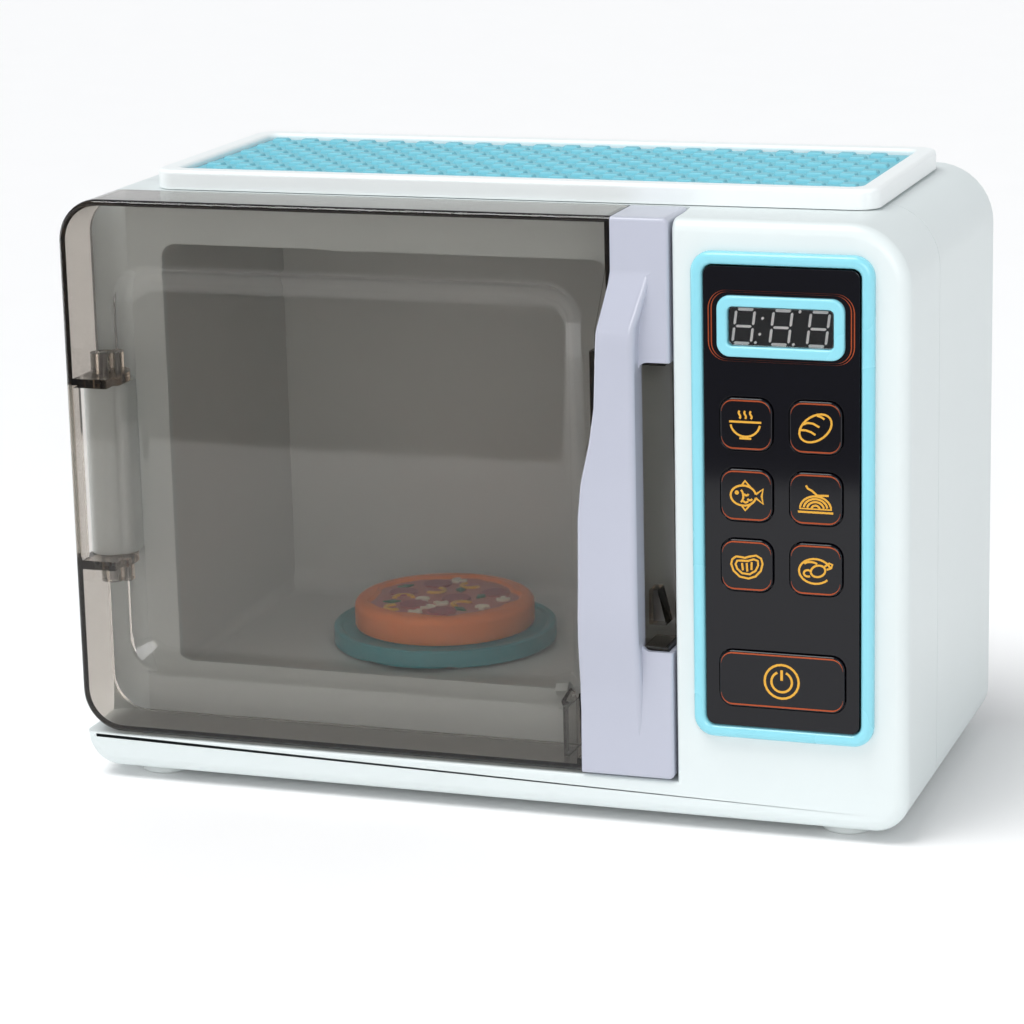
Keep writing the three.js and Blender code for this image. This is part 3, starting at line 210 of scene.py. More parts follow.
def combine(piece, operation, tools):
    """Applies the tools to a piece one after another and throws them away."""
    for tool in tools:
        modifier = piece.modifiers.new("combine", "BOOLEAN")
        modifier.operation = operation
        modifier.solver = "EXACT"
        modifier.object = tool
        only(piece)
        bpy.ops.object.modifier_apply(modifier=modifier.name)
        bpy.data.objects.remove(tool)
    return piece


def carve(piece, *tools):
    return combine(piece, "DIFFERENCE", tools)


def weld(piece, *tools):
    return combine(piece, "UNION", tools)


def merged(piece, distance=0.02):
    """Joins points that nearly touch and drops faces with no width."""
    pick(piece, "FACE", every)
    bpy.ops.mesh.remove_doubles(threshold=distance * MM)
    bpy.ops.mesh.dissolve_degenerate(threshold=distance * MM)
    put_down()


def walled(piece, thickness, distance=0.06):
    """Gives an open skin its wall, grown inwards."""
    merged(piece, distance)
    modifier = piece.modifiers.new("wall", "SOLIDIFY")
    modifier.thickness = thickness * MM
    modifier.offset = -1
    modifier.use_even_offset = True
    only(piece)
    bpy.ops.object.modifier_apply(modifier=modifier.name)


def delete_faces(piece, test):
    pick(piece, "FACE", test)
    bpy.ops.mesh.delete(type="FACE")
    put_down()


def slice_at(piece, heights):
    """Adds a loop of edges round a piece at each height."""
    for z in heights:
        pick(piece, "FACE", every)
        bpy.ops.mesh.bisect(plane_co=(0, 0, z * MM), plane_no=(0, 0, 1))
        put_down()


def push_points(piece, move):
    """Moves each corner point of a piece to where move puts it."""
    for vertex in piece.data.vertices:
        vertex.co = Vector(move(vertex.co / MM)) * MM


def copied(piece, name, shift, turn=0):
    """A copy with its own mesh, turned about z by degrees and then moved."""
    only(piece)
    bpy.ops.object.duplicate(linked=False)
    twin = bpy.context.object
    twin.name = twin.data.name = name
    if turn:
        twin.data.transform(Matrix.Rotation(math.radians(turn), 4, "Z"))
    twin.data.transform(Matrix.Translation(Vector(shift) * MM))
    return twin


def as_one(name, pieces):
    bpy.ops.object.select_all(action="DESELECT")
    for piece in pieces:
        piece.select_set(True)
    bpy.context.view_layer.objects.active = pieces[0]
    if len(pieces) > 1:
        bpy.ops.object.join()
    pieces[0].name = pieces[0].data.name = name
    return pieces[0]


def evened(piece, angle):
    """Smooth faces that stay flat where they are flat, with edges sharp above the angle."""
    only(piece)
    bpy.ops.object.shade_smooth_by_angle(angle=math.radians(angle))
    modifier = piece.modifiers.new("even", "WEIGHTED_NORMAL")
    modifier.keep_sharp = True
    bpy.ops.object.modifier_apply(modifier=modifier.name)


def keep(piece, slot, finish, *nodes, body="housing", angle=38):
    """Finishes a piece: edges sharp above an angle, material, body and the nodes it stands for. The slot
    is not used.
    """
    evened(piece, angle)
    piece.data.materials.clear()
    piece.data.materials.append(finish)
    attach(piece, body)
    if nodes:
        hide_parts(*nodes)
    return piece


def smoothed(node, finish, slot, width):
    """A merged copy of a node with small round edges."""
    only(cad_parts[node])
    bpy.ops.object.duplicate(linked=False)
    piece = bpy.context.object
    piece.name = piece.data.name = node + "_finished"
    for key in list(piece.keys()):
        del piece[key]
    piece.parent = None
    merged(piece)
    pick(piece, "FACE", every)
    bpy.ops.mesh.dissolve_limited(angle_limit=math.radians(1))
    put_down()
    modifier = piece.modifiers.new("edges", "BEVEL")
    modifier.width = width * MM
    modifier.segments = 2
    modifier.angle_limit = math.radians(40)
    only(piece)
    bpy.ops.object.modifier_apply(modifier=modifier.name)
    return keep(piece, slot, finish, node)


# ---- materials

def linear(code):
    """An sRGB hex colour as linear red, green, blue and alpha."""
    parts = [int(code[i:i + 2], 16) / 255 for i in (1, 3, 5)]
    return [*(p / 12.92 if p <= 0.04045 else ((p + 0.055) / 1.055) ** 2.4 for p in parts), 1]


def add_node(tree, kind, inputs=None, **settings):
    """Adds a node with its settings. An input takes a value, or the output of another node."""
    node = tree.nodes.new(kind)
    for name, value in settings.items():
        setattr(node, name, value)
    for socket, value in (inputs or {}).items():
        if isinstance(value, bpy.types.NodeSocket):
            tree.links.new(value, node.inputs[socket])
        else:
            node.inputs[socket].default_value = value
    return node


def blank(name):
    material = bpy.data.materials.new(name)
    material.use_nodes = True
    material.node_tree.nodes.clear()
    return material, material.node_tree


def noise(tree, place, size, detail):
    """A noise whose features lie that many millimetres apart."""
    return add_node(tree, "ShaderNodeTexNoise", {
        "Vector": place, "Scale": 1 / (size * MM), "Detail": detail}).outputs["Fac"]


def drifting(tree, pattern, value, shares):
    """A value that a pattern moves between two shares of it."""
    return add_node(tree, "ShaderNodeMapRange", {
        "Value": pattern, "To Min": value * shares[0], "To Max": value * shares[1]}).outputs["Result"]


def moulded(name, colour, roughness, ior=1.53, coat=0.0, grain=0.9, depth=0.02, mottle=0.03, metal=0.0,
            subsurface=0.0, specular=0.5):
    """Moulded plastic or metal: one colour that drifts by a few per cent, gloss that changes in broad
    flow marks, and the fine grain of the mould, drawn coarser than the real 0.1 mm so that it shows."""
    material, tree = blank(name)
    place = add_node(tree, "ShaderNodeTexCoord").outputs["Object"]
    flow = noise(tree, place, size=45, detail=3.0)
    fine = noise(tree, place, size=grain, detail=2.0)
    base = linear(colour)
    low = [c * (1 - mottle) for c in base[:3]] + [1]
    high = [min(c * (1 + mottle), 1) for c in base[:3]] + [1]
    tone = add_node(tree, "ShaderNodeMix", {0: flow, 6: low, 7: high}, data_type="RGBA")
    bump = add_node(tree, "ShaderNodeBump", {"Height": fine, "Strength": 0.25, "Distance": depth * MM})
    shader = add_node(tree, "ShaderNodeBsdfPrincipled", {
        "Base Color": tone.outputs[2], "Roughness": drifting(tree, flow, roughness, (0.85, 1.2)),
        "Normal": bump.outputs["Normal"], "IOR": ior, "Specular IOR Level": specular, "Metallic": metal,
        "Coat Weight": coat, "Coat Roughness": 0.06, "Subsurface Weight": subsurface,
        "Subsurface Scale": 0.004, "Subsurface Radius": (1.0, 0.95, 0.9),
    })
    add_node(tree, "ShaderNodeOutputMaterial", {"Surface": shader.outputs["BSDF"]})
    return material


def clear_moulded(name, colour, density, roughness, ior=1.59):
    """Tinted clear plastic: light bends into it and is taken up along its way, so thin walls look
    through and edges look dark. The skin has the faint broad waves that moulding leaves."""
    material, tree = blank(name)
    place = add_node(tree, "ShaderNodeTexCoord").outputs["Object"]
    flow = noise(tree, place, size=60, detail=2.0)
    wave = add_node(tree, "ShaderNodeBump", {"Height": flow, "Strength": 0.12, "Distance": 0.4 * MM})
    shader = add_node(tree, "ShaderNodeBsdfPrincipled", {
        "Base Color": linear("#FFFFFF"), "Transmission Weight": 1.0, "IOR": ior,
        "Roughness": drifting(tree, flow, roughness, (0.8, 1.4)), "Normal": wave.outputs["Normal"]})
    tint = add_node(tree, "ShaderNodeVolumeAbsorption", {"Color": linear(colour), "Density": density})
    add_node(tree, "ShaderNodeOutputMaterial", {
        "Surface": shader.outputs["BSDF"], "Volume": tint.outputs["Volume"]})
    return material


# ABS from a satin mould: soft white with a faint cool green cast
white_abs = moulded("white_abs_moulded", "#DAE2E2", 0.34)
# The same white ABS made lighter for the frame on the top: painted light, lifting a face that the lamps leave
# darker
frame_painted_lighter_abs = moulded("frame_white_abs_painted_lighter", "#F0F5F5", 0.34)
# Lavender grey ABS, polished, so that the grip's ridges catch the light
lavender_abs = moulded("lavender_abs_polished", "#B5B8C6", 0.24, coat=0.15)
# Light blue ABS, polished: the frames of the panel and display
sky_abs = moulded("sky_blue_abs_polished", "#8AD3E2", 0.26, coat=0.2)
# Deeper blue ABS from a satin mould: the block panel on the top
top_abs = moulded("top_blue_abs_satin", "#74C2D2", 0.42)
# Light grey polystyrene with a dull gloss: the cavity's liner
liner_styrene = moulded("liner_polystyrene_grey", "#D9DDDC", 0.4)
# Teal ABS: the turntable
teal_abs = moulded("teal_abs_satin", "#1F949E", 0.38)
# Smoked acrylic, polished: grey olive, clear through a wall and nearly black along an edge
smoked = clear_moulded("smoked_acrylic", "#957C54", 184.0, 0.03, ior=1.49)
# Clear polystyrene with a faint grey: lens of the display
lens_clear = clear_moulded("display_lens_styrene", "#E4E4E8", 60.0, 0.03)
# Milky clear polystyrene: cover of the cavity's lamp
lamp_clear = clear_moulded("lamp_lens_styrene", "#F4F1E6", 20.0, 0.4)
# Thick polished lacquer: the panel's nearly black front with a blue cast
lacquer = {"specular": 0.35, "grain": 2.5, "depth": 0.008, "mottle": 0.1}
gloss_black = moulded("black_lacquer_gloss", "#08080F", 0.07, **lacquer)
# The same lacquer, a little softer: the keys
key_black = moulded("black_key_lacquer", "#090910", 0.1, **lacquer)
# Hot stamped copper foil: thin warm lines round the keys
copper_foil = moulded("copper_foil_stamped", "#B5532F", 0.32, ior=1.5, metal=0.7, mottle=0.12)
# Gold ink, screen printed: the pictures on the keys
gold_ink = moulded("gold_ink_printed", "#E3A93A", 0.4, ior=1.5, metal=0.35, mottle=0.08)
# Pale grey epoxy: the display's unlit segments
segment_grey = moulded("segment_epoxy_grey", "#F6F1ED", 0.45)
# Matt black varnish: face of the display's module between the segments
display_black = moulded("display_module_black", "#040406", 0.6, specular=0.03)
# Soft vinyl with an orange brown paint: the pizza's baked crust
crust_vinyl = moulded("crust_vinyl_orange", "#FF842A", 0.45, grain=1.6, depth=0.15, mottle=0.12)
# The same vinyl painted red brown and lumpy: its sauce
sauce_vinyl = moulded("sauce_vinyl_red_brown", "#C8705C", 0.4, grain=2.2, depth=0.25, mottle=0.2)
# Vinyl paints of the toppings: salami, pepper rings, leaves and mushrooms
salami_paint = moulded("salami_paint_red", "#A8383E", 0.4, grain=1.2, depth=0.1, mottle=0.16)
pepper_paint = moulded("pepper_paint_yellow", "#F0B62E", 0.35, mottle=0.1)
leaf_paint = moulded("leaf_paint_green", "#2C6E44", 0.4, mottle=0.14)
mushroom_paint = moulded("mushroom_paint_cream", "#F6E9D2", 0.45, mottle=0.06)
# Silicone rubber: matt dark grey mat under the keys
rubber = moulded("silicone_rubber_grey", "#3A3C40", 0.8, ior=1.41, grain=1.2, depth=0.05)
# Glass fibre board under green solder mask
board_mask = moulded("solder_mask_green", "#1F6B3F", 0.42, grain=1.5, depth=0.06, mottle=0.15)
# Acetal gears: ivory, waxy
acetal = moulded("acetal_ivory", "#F2EFE4", 0.42, ior=1.48, subsurface=0.1)
# Grey ABS of the inner cases
case_grey = moulded("case_abs_grey", "#55585C", 0.5)
# Printed film round the cells
cell_film = moulded("cell_film_blue", "#3C5F9C", 0.3, coat=0.3)
# Plated steel: screws, pins, axles and contacts
plated_steel = moulded("plated_steel", "#B9BDC2", 0.28, ior=1.5, metal=1.0, grain=0.6, depth=0.01)
# Soft vinyl of the feet
foot_vinyl = moulded("foot_vinyl_white", "#D9DEDD", 0.6)


# ---- camera, light and floor

CAMERA_TURN = (19.11, 14.09, -1.34)  # azimuth, elevation and roll in degrees
CAMERA_LENS = 121.96
CAMERA_TARGET, CAMERA_DISTANCE = (14, -68, 107.3), 1169
LAMPS = [  # name, kind, place, power, and size: radians for the sun and millimetres for the others
    ("key_light", "SUN", (-480, -570, 1900), 2.0, 0.6),
    ("front_light", "AREA", (620, -1500, 600), 6.4, 700),
    ("right_panel", "AREA", (700, -250, 60), 0.12, 350),
    ("left_panel", "AREA", (-750, -100, 60), 0.85, 500),
]
LAMP_TARGET = (0, 0, 100)


def aim(azimuth, elevation, roll):
    """Right, up and backward directions of a camera that looks at the object from there."""
    a, e, r = (math.radians(v) for v in (azimuth, elevation, roll))
    back = Vector((math.sin(a) * math.cos(e), -math.cos(a) * math.cos(e), math.sin(e)))
    right = (-back).cross(Vector((0, 0, 1))).normalized()
    up = right.cross(-back)
    return math.cos(r) * right + math.sin(r) * up, math.cos(r) * up - math.sin(r) * right, back


def put_camera():
    right, up, back = aim(*CAMERA_TURN)
    lens = bpy.data.cameras.new("camera")
    lens.lens = CAMERA_LENS
    lens.sensor_width = 36
    lens.clip_end = 50
    camera = bpy.data.objects.new("camera", lens)
    bpy.context.scene.collection.objects.link(camera)
    place = (Vector(CAMERA_TARGET) + back * CAMERA_DISTANCE) * MM
    turn = Matrix((right, up, back)).transposed().to_4x4()
    camera.matrix_world = Matrix.Translation(place) @ turn
    bpy.context.scene.camera = camera


def lamp(name, kind, place, power, size):
    """A lamp that shines from its place towards the object: an even disk, or a broad sun."""
    light = bpy.data.lights.new(name, kind)
    light.energy = power
    if kind == "SUN":
        light.angle = size
    else:
        light.shape = "DISK"
        light.size = size * MM
    holder = bpy.data.objects.new(name, light)
    holder.visible_camera = False
    bpy.context.scene.collection.objects.link(holder)
    back = (Vector(place) - Vector(LAMP_TARGET)).normalized()
    turn = back.to_track_quat("Z", "Y").to_matrix().to_4x4()
    holder.matrix_world = Matrix.Translation(Vector(place) * MM) @ turn


def studio():
    """Pale floor, a grey card, a pale room that is brightest round the horizon, and the lamps."""
    bpy.ops.object.select_all(action="DESELECT")
    bpy.ops.mesh.primitive_plane_add(size=16000 * MM)
    floor = placed("studio_floor")
    paper = {"grain": 4, "depth": 0.02, "mottle": 0.005}
    floor.data.materials.append(moulded("paper_floor_matt", "#FAFAFA", 0.8, **paper))
    # The card lies in front for reflections alone: it darkens the upper half of what the gloss shows
    card = block("grey_card", (-2000, -2560, 0.3), (1600, -560, 0.8))
    card.data.materials.append(moulded("grey_card_paper", "#6E6E70", 0.8, **paper))
    card.visible_camera = card.visible_diffuse = card.visible_shadow = False
    world = bpy.data.worlds.new("studio_room")
    world.use_nodes = True
    tree = world.node_tree
    direction = add_node(tree, "ShaderNodeTexCoord").outputs["Generated"]
    height = add_node(tree, "ShaderNodeSeparateXYZ", {0: direction}).outputs["Z"]
    strength = add_node(tree, "ShaderNodeMapRange", {
        "Value": height, "From Min": 0.08, "From Max": 0.4, "To Min": 0.95, "To Max": 0.42
    }).outputs["Result"]
    tree.nodes["Background"].inputs["Color"].default_value = linear("#FAFCFF")
    tree.links.new(strength, tree.nodes["Background"].inputs["Strength"])
    bpy.context.scene.world = world
    for settings in LAMPS:
        lamp(*settings)


# ---- housing

(LEFT, FRONT, BASE), (RIGHT, _, TOP) = cad("front_housing")
BACK = cad("rear_housing")[1][Y]
BODY_BOX = ((LEFT, FRONT, BASE), (RIGHT, BACK, TOP))
BODY_RADII = (21, 15, 12, 12)
BODY_WALL = 2.4
FRONT_END, REAR_START = -22, -21.7  # the seam between the two halves
LIP_REACH, LIP_WALL = 3.3, 1.6
DOOR_BED, SILL, PANEL_SIDE = -44, 16.5, 70.9  # back, floor and right end of the recess for the door
HINGE = middle("hinge_pin_upper")[:Z]
SCOOP_RADIUS = 11.2  # room that the door's hinge side swings in
LUG_RADIUS, LUG_BOTTOM, LUG_TOP = 7.2, 80.1, 141.8
MOUTH_MARGIN = 5
POSTS = [middle(f"housing_screw_{i}") for i in range(1, 7)]
SPEAKER = middle("speaker")
SLOT_PITCH, SLOT_HEIGHT, SLOT_CIRCLE = 4.4, 2, 14.6
BLOCK_SIZE, BLOCK_PITCH, BLOCK_MARGIN = (6.4, 5, 1.3), (11.3, 7.6), 2.2


def body_slab(name, margin, front, back):
    """A slab with the housing's outline, drawn in by a margin."""
    radii = tuple(r - margin for r in BODY_RADII)
    return plate(name, *drawn_in(BODY_BOX, margin, (front, back)), radii)


def door_room(grow):
    """Recess for the door and the round room for its hinge side, or the outside of their walls."""
    low = (LEFT - OVER, FRONT - OVER, SILL - grow)
    recess = block("recess", low, (PANEL_SIDE + grow, DOOR_BED + grow, TOP + OVER))
    return recess, disc("scoop", (*HINGE, SILL - grow), SCOOP_RADIUS + grow, TOP)


def front_shell():
    """Front half: face and sill, the deep recess for the door, and the lug that carries the hinge."""
    shell = body_slab("front_shell", 0, FRONT, FRONT_END)
    bevel(shell, "FACE", front_at(FRONT), 4.6, 7)
    carve(shell, *door_room(0))

    def recess_edge(m, d):
        beside = abs(m.x - PANEL_SIDE) < 0.1 and m.z > SILL + 0.1
        below = abs(d.x) > FACING and abs(m.z - SILL) < 0.1 and m.y < FRONT + 1
        return m.y < DOOR_BED - 0.5 and (beside or below)
    bevel(shell, "EDGE", recess_edge, 1.5, 4)
    hollow = body_slab("hollow", BODY_WALL, FRONT + BODY_WALL, FRONT_END + OVER)
    carve(shell, carve(hollow, *door_room(BODY_WALL)))
    mouth = drawn_in(cad("cavity_liner"), MOUTH_MARGIN, (DOOR_BED - OVER, FRONT_END + OVER))
    well = drawn_in(cad("panel_bezel"), 2.8, (FRONT - OVER, FRONT + OVER))
    carve(shell, plate("mouth", *mouth, 5), plate("well", *well, 4.2, steps=8))
    bevel(shell, "EDGE", edges_inside(DOOR_BED, mouth, -1.5), 0.7, 2)
    lug = disc("lug", (*HINGE, LUG_BOTTOM), LUG_RADIUS, LUG_TOP - LUG_BOTTOM)
    bevel(lug, "EDGE", lambda m, d: abs(d.z) < 0.1, 0.5, 2)
    web = block("web", (HINGE[X] - 3, HINGE[Y], LUG_BOTTOM), (HINGE[X] + LUG_RADIUS, -39.9, LUG_TOP))
    weld(shell, weld(lug, web))
    keep(shell, "housing_white", white_abs, "front_housing")


def rear_shell():
    """Rear half: the long body, with screw wells, battery opening and the speaker's slots in its back."""
    shell = body_slab("rear_shell", 0, REAR_START, BACK)
    bevel(shell, "FACE", back_at(BACK), 7, 8)
    delete_faces(shell, front_at(REAR_START))
    walled(shell, BODY_WALL)
    margin = BODY_WALL + FIT
    lip = body_slab("lip", margin, REAR_START - LIP_REACH, REAR_START + LIP_REACH)
    weld(shell, carve(lip, body_slab("lip_well", margin + LIP_WALL, REAR_START - OVER, REAR_START + OVER)))
    for x, _, z in POSTS:
        weld(shell, disc("boss", (x, 52.3, z), 4, 21.5, TO_BACK, 32))
        carve(shell, disc("well", (x, 54.7, z), 3.3, BACK, TO_BACK, 32))
    carve(shell, plate("bay", (73.4, 60, 26.9), (138.7, 90, 95.1), 1.5, steps=3))
    for i in range(-3, 4):
        rise = i * SLOT_PITCH
        size = (2 * math.sqrt(SLOT_CIRCLE ** 2 - rise ** 2), SLOT_HEIGHT)
        centre = (SPEAKER[X], SPEAKER[Z] + rise)
        carve(shell, even_plate("slot", centre, size, (BACK - OVER, BACK + OVER), 0.98, 4))
    bevel(shell, "EDGE", edges_inside(BACK, BODY_BOX, 8), 0.4, 2)
    keep(shell, "housing_white", white_abs, "rear_housing")


def top_pieces():
    """White frame on the top and the blue panel of staggered blocks inside it."""
    low, high = cad("top_frame")
    rim = plate("top_frame_rim", low, high, 8, upright=False)
    well = drawn_in((low, high), 7, (TOP - OVER, TOP + 2 * OVER), Z)
    carve(rim, plate("rim_well", *well, 4, upright=False))
    bevel(rim, "EDGE", edges_at(Z, high[Z]), 1.5, 4)
    # The frame's white is lighter than the body's: painted light on its face
    keep(rim, "housing_white", frame_painted_lighter_abs, "top_frame")
    low, high = cad("top_grille")
    face = high[Z] - BLOCK_SIZE[Z]
    panel = plate("top_block_panel", low, (high[X], high[Y], face), 3.7, upright=False)
    x, y = low[X] + BLOCK_MARGIN, low[Y] + BLOCK_MARGIN
    one = block("one_block", (x, y, face - 0.3), (x + BLOCK_SIZE[X], y + BLOCK_SIZE[Y], high[Z]))
    pick(one, "FACE", top_at(high[Z]))
    bpy.ops.transform.resize(value=(0.82, 0.78, 1))
    put_down()
    bevel(one, "EDGE", lambda m, d: m.z > face, 0.35, 1)
    room_x, room_y = (high[axis] - low[axis] - 2 * BLOCK_MARGIN - BLOCK_SIZE[axis] for axis in (X, Y))
    blocks = []
    for row in range(int(room_y / BLOCK_PITCH[Y]) + 1):
        stagger = row % 2 * BLOCK_PITCH[X] / 2
        for column in range(int((room_x - stagger) / BLOCK_PITCH[X]) + 1):
            place = (stagger + column * BLOCK_PITCH[X], row * BLOCK_PITCH[Y], 0)
            blocks.append(copied(one, f"block_{row}_{column}", place))
    bpy.data.objects.remove(one)
    keep(as_one("top_block_panel", [panel, *blocks]), "top_blue", top_abs, "top_grille")


def feet():
    foot = disc("foot", (0, 0, 0), 9, BASE, sides=48)
    bevel(foot, "FACE", low_at(0), 1, 3)
    inset(foot, low_at(0), (5, -0.6))
    for corner in ("front_left", "front_right", "rear_left", "rear_right"):
        x, y, _ = middle(f"foot_{corner}")
        keep(copied(foot, f"foot_pad_{corner}", (x, y, 0)), "rubber", foot_vinyl, f"foot_{corner}")
    bpy.data.objects.remove(foot)


# ---- door

(CAP_LEFT, GRIP_FRONT, DOOR_BOTTOM), (DOOR_RIGHT, DOOR_BACK, _) = cad("door_handle")
DOOR_RADII = (2, 15, 15, 2)
DOOR_WALL, CAP_FRONT, CAP_WALL = 2.2, -69, 1.6
# Cap's left edge from the bottom of the door up: share of the door's height, share of the cap's width
CAP_EDGE = [(0, 1), (0.145, 0.994), (0.348, 0.957), (0.473, 0.945), (0.536, 0.908), (0.609, 0.81),
            (0.671, 0.755), (0.802, 0.724), (0.849, 0.669), (0.906, 0.607), (1, 0.604)]
CAP_BENDS = [DOOR_BOTTOM + (TOP - DOOR_BOTTOM) * share for share, _ in CAP_EDGE[1:-1]]
# Grip from its lower end up: share of its length, share of its full height above the cap
GRIP_RISE = [(0, 0), (0.12, 0.3), (0.22, 0.86), (0.27, 0.98), (0.32, 1), (0.84, 1), (0.88, 0.92),
             (0.96, 0.2), (0.98, 0.04), (1, 0)]
GRIP_BOTTOM, GRIP_TOP, GRIP_FOOT, GRIP_RIGHT = 29.3, 193, -68.9, 59.5
FLARE_FROM, FLARE = 165, 4.8  # above this height the grip's right side spreads as it sinks
NOTCH_LEFT, NOTCH_BOTTOM, NOTCH_TOP = 59.4, 62, 161
POCKET_LEFT, POCKET_BACK = 44, -52.5
WINDOW_BOX = ((LEFT + 19.4, FRONT, DOOR_BOTTOM + 22.8), (DOOR_RIGHT - 30.1, FRONT, TOP - 22.8))
WINDOW_STEP, WINDOW_DEPTH = 7.9, 4.5
TAB, TAB_GAP, TAB_BOSS = 3.2, 0.4, 7


def along(table, share):
    """Value at a share along a table of rising pairs."""
    for (a, low), (b, high) in zip(table, table[1:]):
        if share <= b:
            return low + (high - low) * (share - a) / (b - a)
    return table[-1][1]


def cap_edge(z):
    share = (z - DOOR_BOTTOM) / (TOP - DOOR_BOTTOM)
    return DOOR_RIGHT - (DOOR_RIGHT - CAP_LEFT) * along(CAP_EDGE, share)


def cap_side(shift):
    """Everything right of the cap's left edge, as a tall block whose left side is cut at each bend."""
    low = (CAP_LEFT - OVER, GRIP_FRONT - OVER, DOOR_BOTTOM - OVER)
    side = block("cap_side", low, (DOOR_RIGHT + OVER, DOOR_BACK + 2 * OVER, TOP + OVER))
    slice_at(side, CAP_BENDS)
    push_points(side, lambda p: (cap_edge(p.z) - shift if p.x < CAP_LEFT else p.x, p.y, p.z))
    return side


def nest_slab(name, margin, back):
    """The shell's end that slips into the cap, or its hollow, a margin inside the cap's outline."""
    low = (-100, CAP_FRONT + margin, DOOR_BOTTOM + margin)
    return plate(name, low, (DOOR_RIGHT - margin, back, TOP - margin), (1, 4, 4, 1), steps=3)


def window_tool(shift):
    """Form that presses the window in, or the wall behind it where a wall's thickness shifts it back."""
    spread = shift * math.tan(math.atan2(WINDOW_DEPTH, WINDOW_STEP) / 2)
    box = drawn_in(WINDOW_BOX, -spread, (FRONT - OVER, FRONT + shift))
    tool = plate("window", *box, 14 + spread)
    inset(tool, back_at(FRONT + shift), (WINDOW_STEP, WINDOW_DEPTH))
    bevel(tool, "FACE", back_at(FRONT + WINDOW_DEPTH + shift), 1.6, 4)
    return tool


def pocket(grow):
    """Room behind the grip, or the outside of its wall."""
    low = (POCKET_LEFT - grow, GRIP_FRONT - OVER, NOTCH_BOTTOM - FIT - grow)
    return block("pocket", low, (DOOR_RIGHT + OVER, POCKET_BACK + grow, NOTCH_TOP + FIT + grow))


def hinge_tab(z, boss_start):
    """Tab over or under the housing's lug, with a boss round the pin."""
    radius = LUG_RADIUS + 0.2
    low = (LEFT + DOOR_WALL / 2, FRONT + DOOR_WALL / 2, z)
    tab = block("tab", low, (HINGE[X] + radius, HINGE[Y], z + TAB))
    weld(tab, disc("tab_end", (*HINGE, z), radius, TAB))
    weld(tab, disc("boss", (*HINGE, boss_start), 4.3, TAB_BOSS + FIT, sides=32))
    return carve(tab, disc("bore", (*HINGE, BASE), 1.8, TOP, sides=24))


def door_shell():
    """Smoked shell: pillowed rim, pressed window, hinge tabs, and the pocket behind the grip."""
    end = (DOOR_RIGHT, DOOR_BACK, TOP)
    shell = plate("smoked_door", (LEFT, FRONT, DOOR_BOTTOM), end, DOOR_RADII, steps=12)
    bevel(shell, "FACE", front_at(FRONT), 1.8, 5)
    carve(shell, cap_side(FIT))
    weld(shell, nest_slab("nest", CAP_WALL + FIT, DOOR_BACK))
    carve(shell, window_tool(0), pocket(0))
    bevel(shell, "EDGE", edges_inside(FRONT, WINDOW_BOX, -1), 0.8, 4)

    inner, open_back = CAP_WALL + FIT + DOOR_WALL, DOOR_BACK + OVER
    low = (LEFT + DOOR_WALL, FRONT + DOOR_WALL, DOOR_BOTTOM + DOOR_WALL)
    radii = tuple(max(r - DOOR_WALL, 0.5) for r in DOOR_RADII)
    hollow = plate("hollow", low, (DOOR_RIGHT - inner, open_back, TOP - DOOR_WALL), radii)
    carve(hollow, cap_side(FIT + DOOR_WALL))
    weld(hollow, nest_slab("nest_hollow", inner, open_back))
    carve(shell, carve(hollow, window_tool(DOOR_WALL), pocket(DOOR_WALL)))
    # The side is open where the housing's lug stands
    upper, lower = LUG_TOP + TAB_GAP, LUG_BOTTOM - TAB_GAP
    low = (LEFT - OVER, FRONT + 8, lower)
    carve(shell, block("side_notch", low, (LEFT + 2.6, open_back, upper)))
    weld(shell, hinge_tab(upper, upper + TAB - FIT), hinge_tab(lower - TAB, lower - TAB - TAB_BOSS))

    x = cad("catch_striker")[1][X] + FIT
    high = (x + 2, DOOR_BACK, cad("cavity_liner")[0][Z] + MOUTH_MARGIN)
    rib = block("rib", (x, DOOR_BACK - 14, DOOR_BOTTOM + DOOR_WALL / 2), high)
    wedge = block("wedge", (NOTCH_LEFT, -60.2, 69), (65.4, -51.5, 81))
    push_points(wedge, lambda p: (min(p.x, 62.4) if p.z > 75 else p.x, p.y, p.z))
    # Rib beside the cap, which shows as a dark line
    edge_rib = block("edge_rib", (47.7, -66.5, NOTCH_TOP + 0.5), (49.9, -46, TOP - 1.4))
    weld(shell, rib, wedge, edge_rib)
    # Walls above and below the finger notch
    for z in (NOTCH_BOTTOM - 0.5, NOTCH_TOP - 1.3):
        weld(shell, block("notch_wall", (NOTCH_LEFT + FIT, FRONT + 1, z), (68, -51, z + 1.9)))
    keep(shell, "door_smoke", smoked, "door_shell", body="door", angle=32)


def bowed_grip():
    """Grip that follows the cap's edge on its left and bows forward between its ends."""
    length = GRIP_TOP - GRIP_BOTTOM
    grip = block("grip", (CAP_LEFT, GRIP_FRONT, GRIP_BOTTOM), (NOTCH_LEFT, -66.5, GRIP_TOP))
    slice_at(grip, [GRIP_BOTTOM + length * share for share, _ in GRIP_RISE[1:-1]])
    slice_at(grip, CAP_BENDS)

    def bowed(p):
        rise = along(GRIP_RISE, (p.z - GRIP_BOTTOM) / length)
        x = cap_edge(p.z) + 0.02
        if p.x > 50:
            x = GRIP_RIGHT + (FLARE * (1 - rise) if p.z > FLARE_FROM else 0)
        y = GRIP_FOOT + (GRIP_FRONT - GRIP_FOOT) * rise if p.y < CAP_FRONT else p.y
        return x, y, p.z
    push_points(grip, bowed)

    def front_edge(m, d):
        return abs(d.z) > 0.5 and m.y < CAP_FRONT - 0.2
    bevel(grip, "EDGE", lambda m, d: front_edge(m, d) and m.x > GRIP_RIGHT - 1.5, 2.3, 8)
    bevel(grip, "EDGE", lambda m, d: front_edge(m, d) and m.x < GRIP_RIGHT - 7.5, 0.9, 4)
    return grip


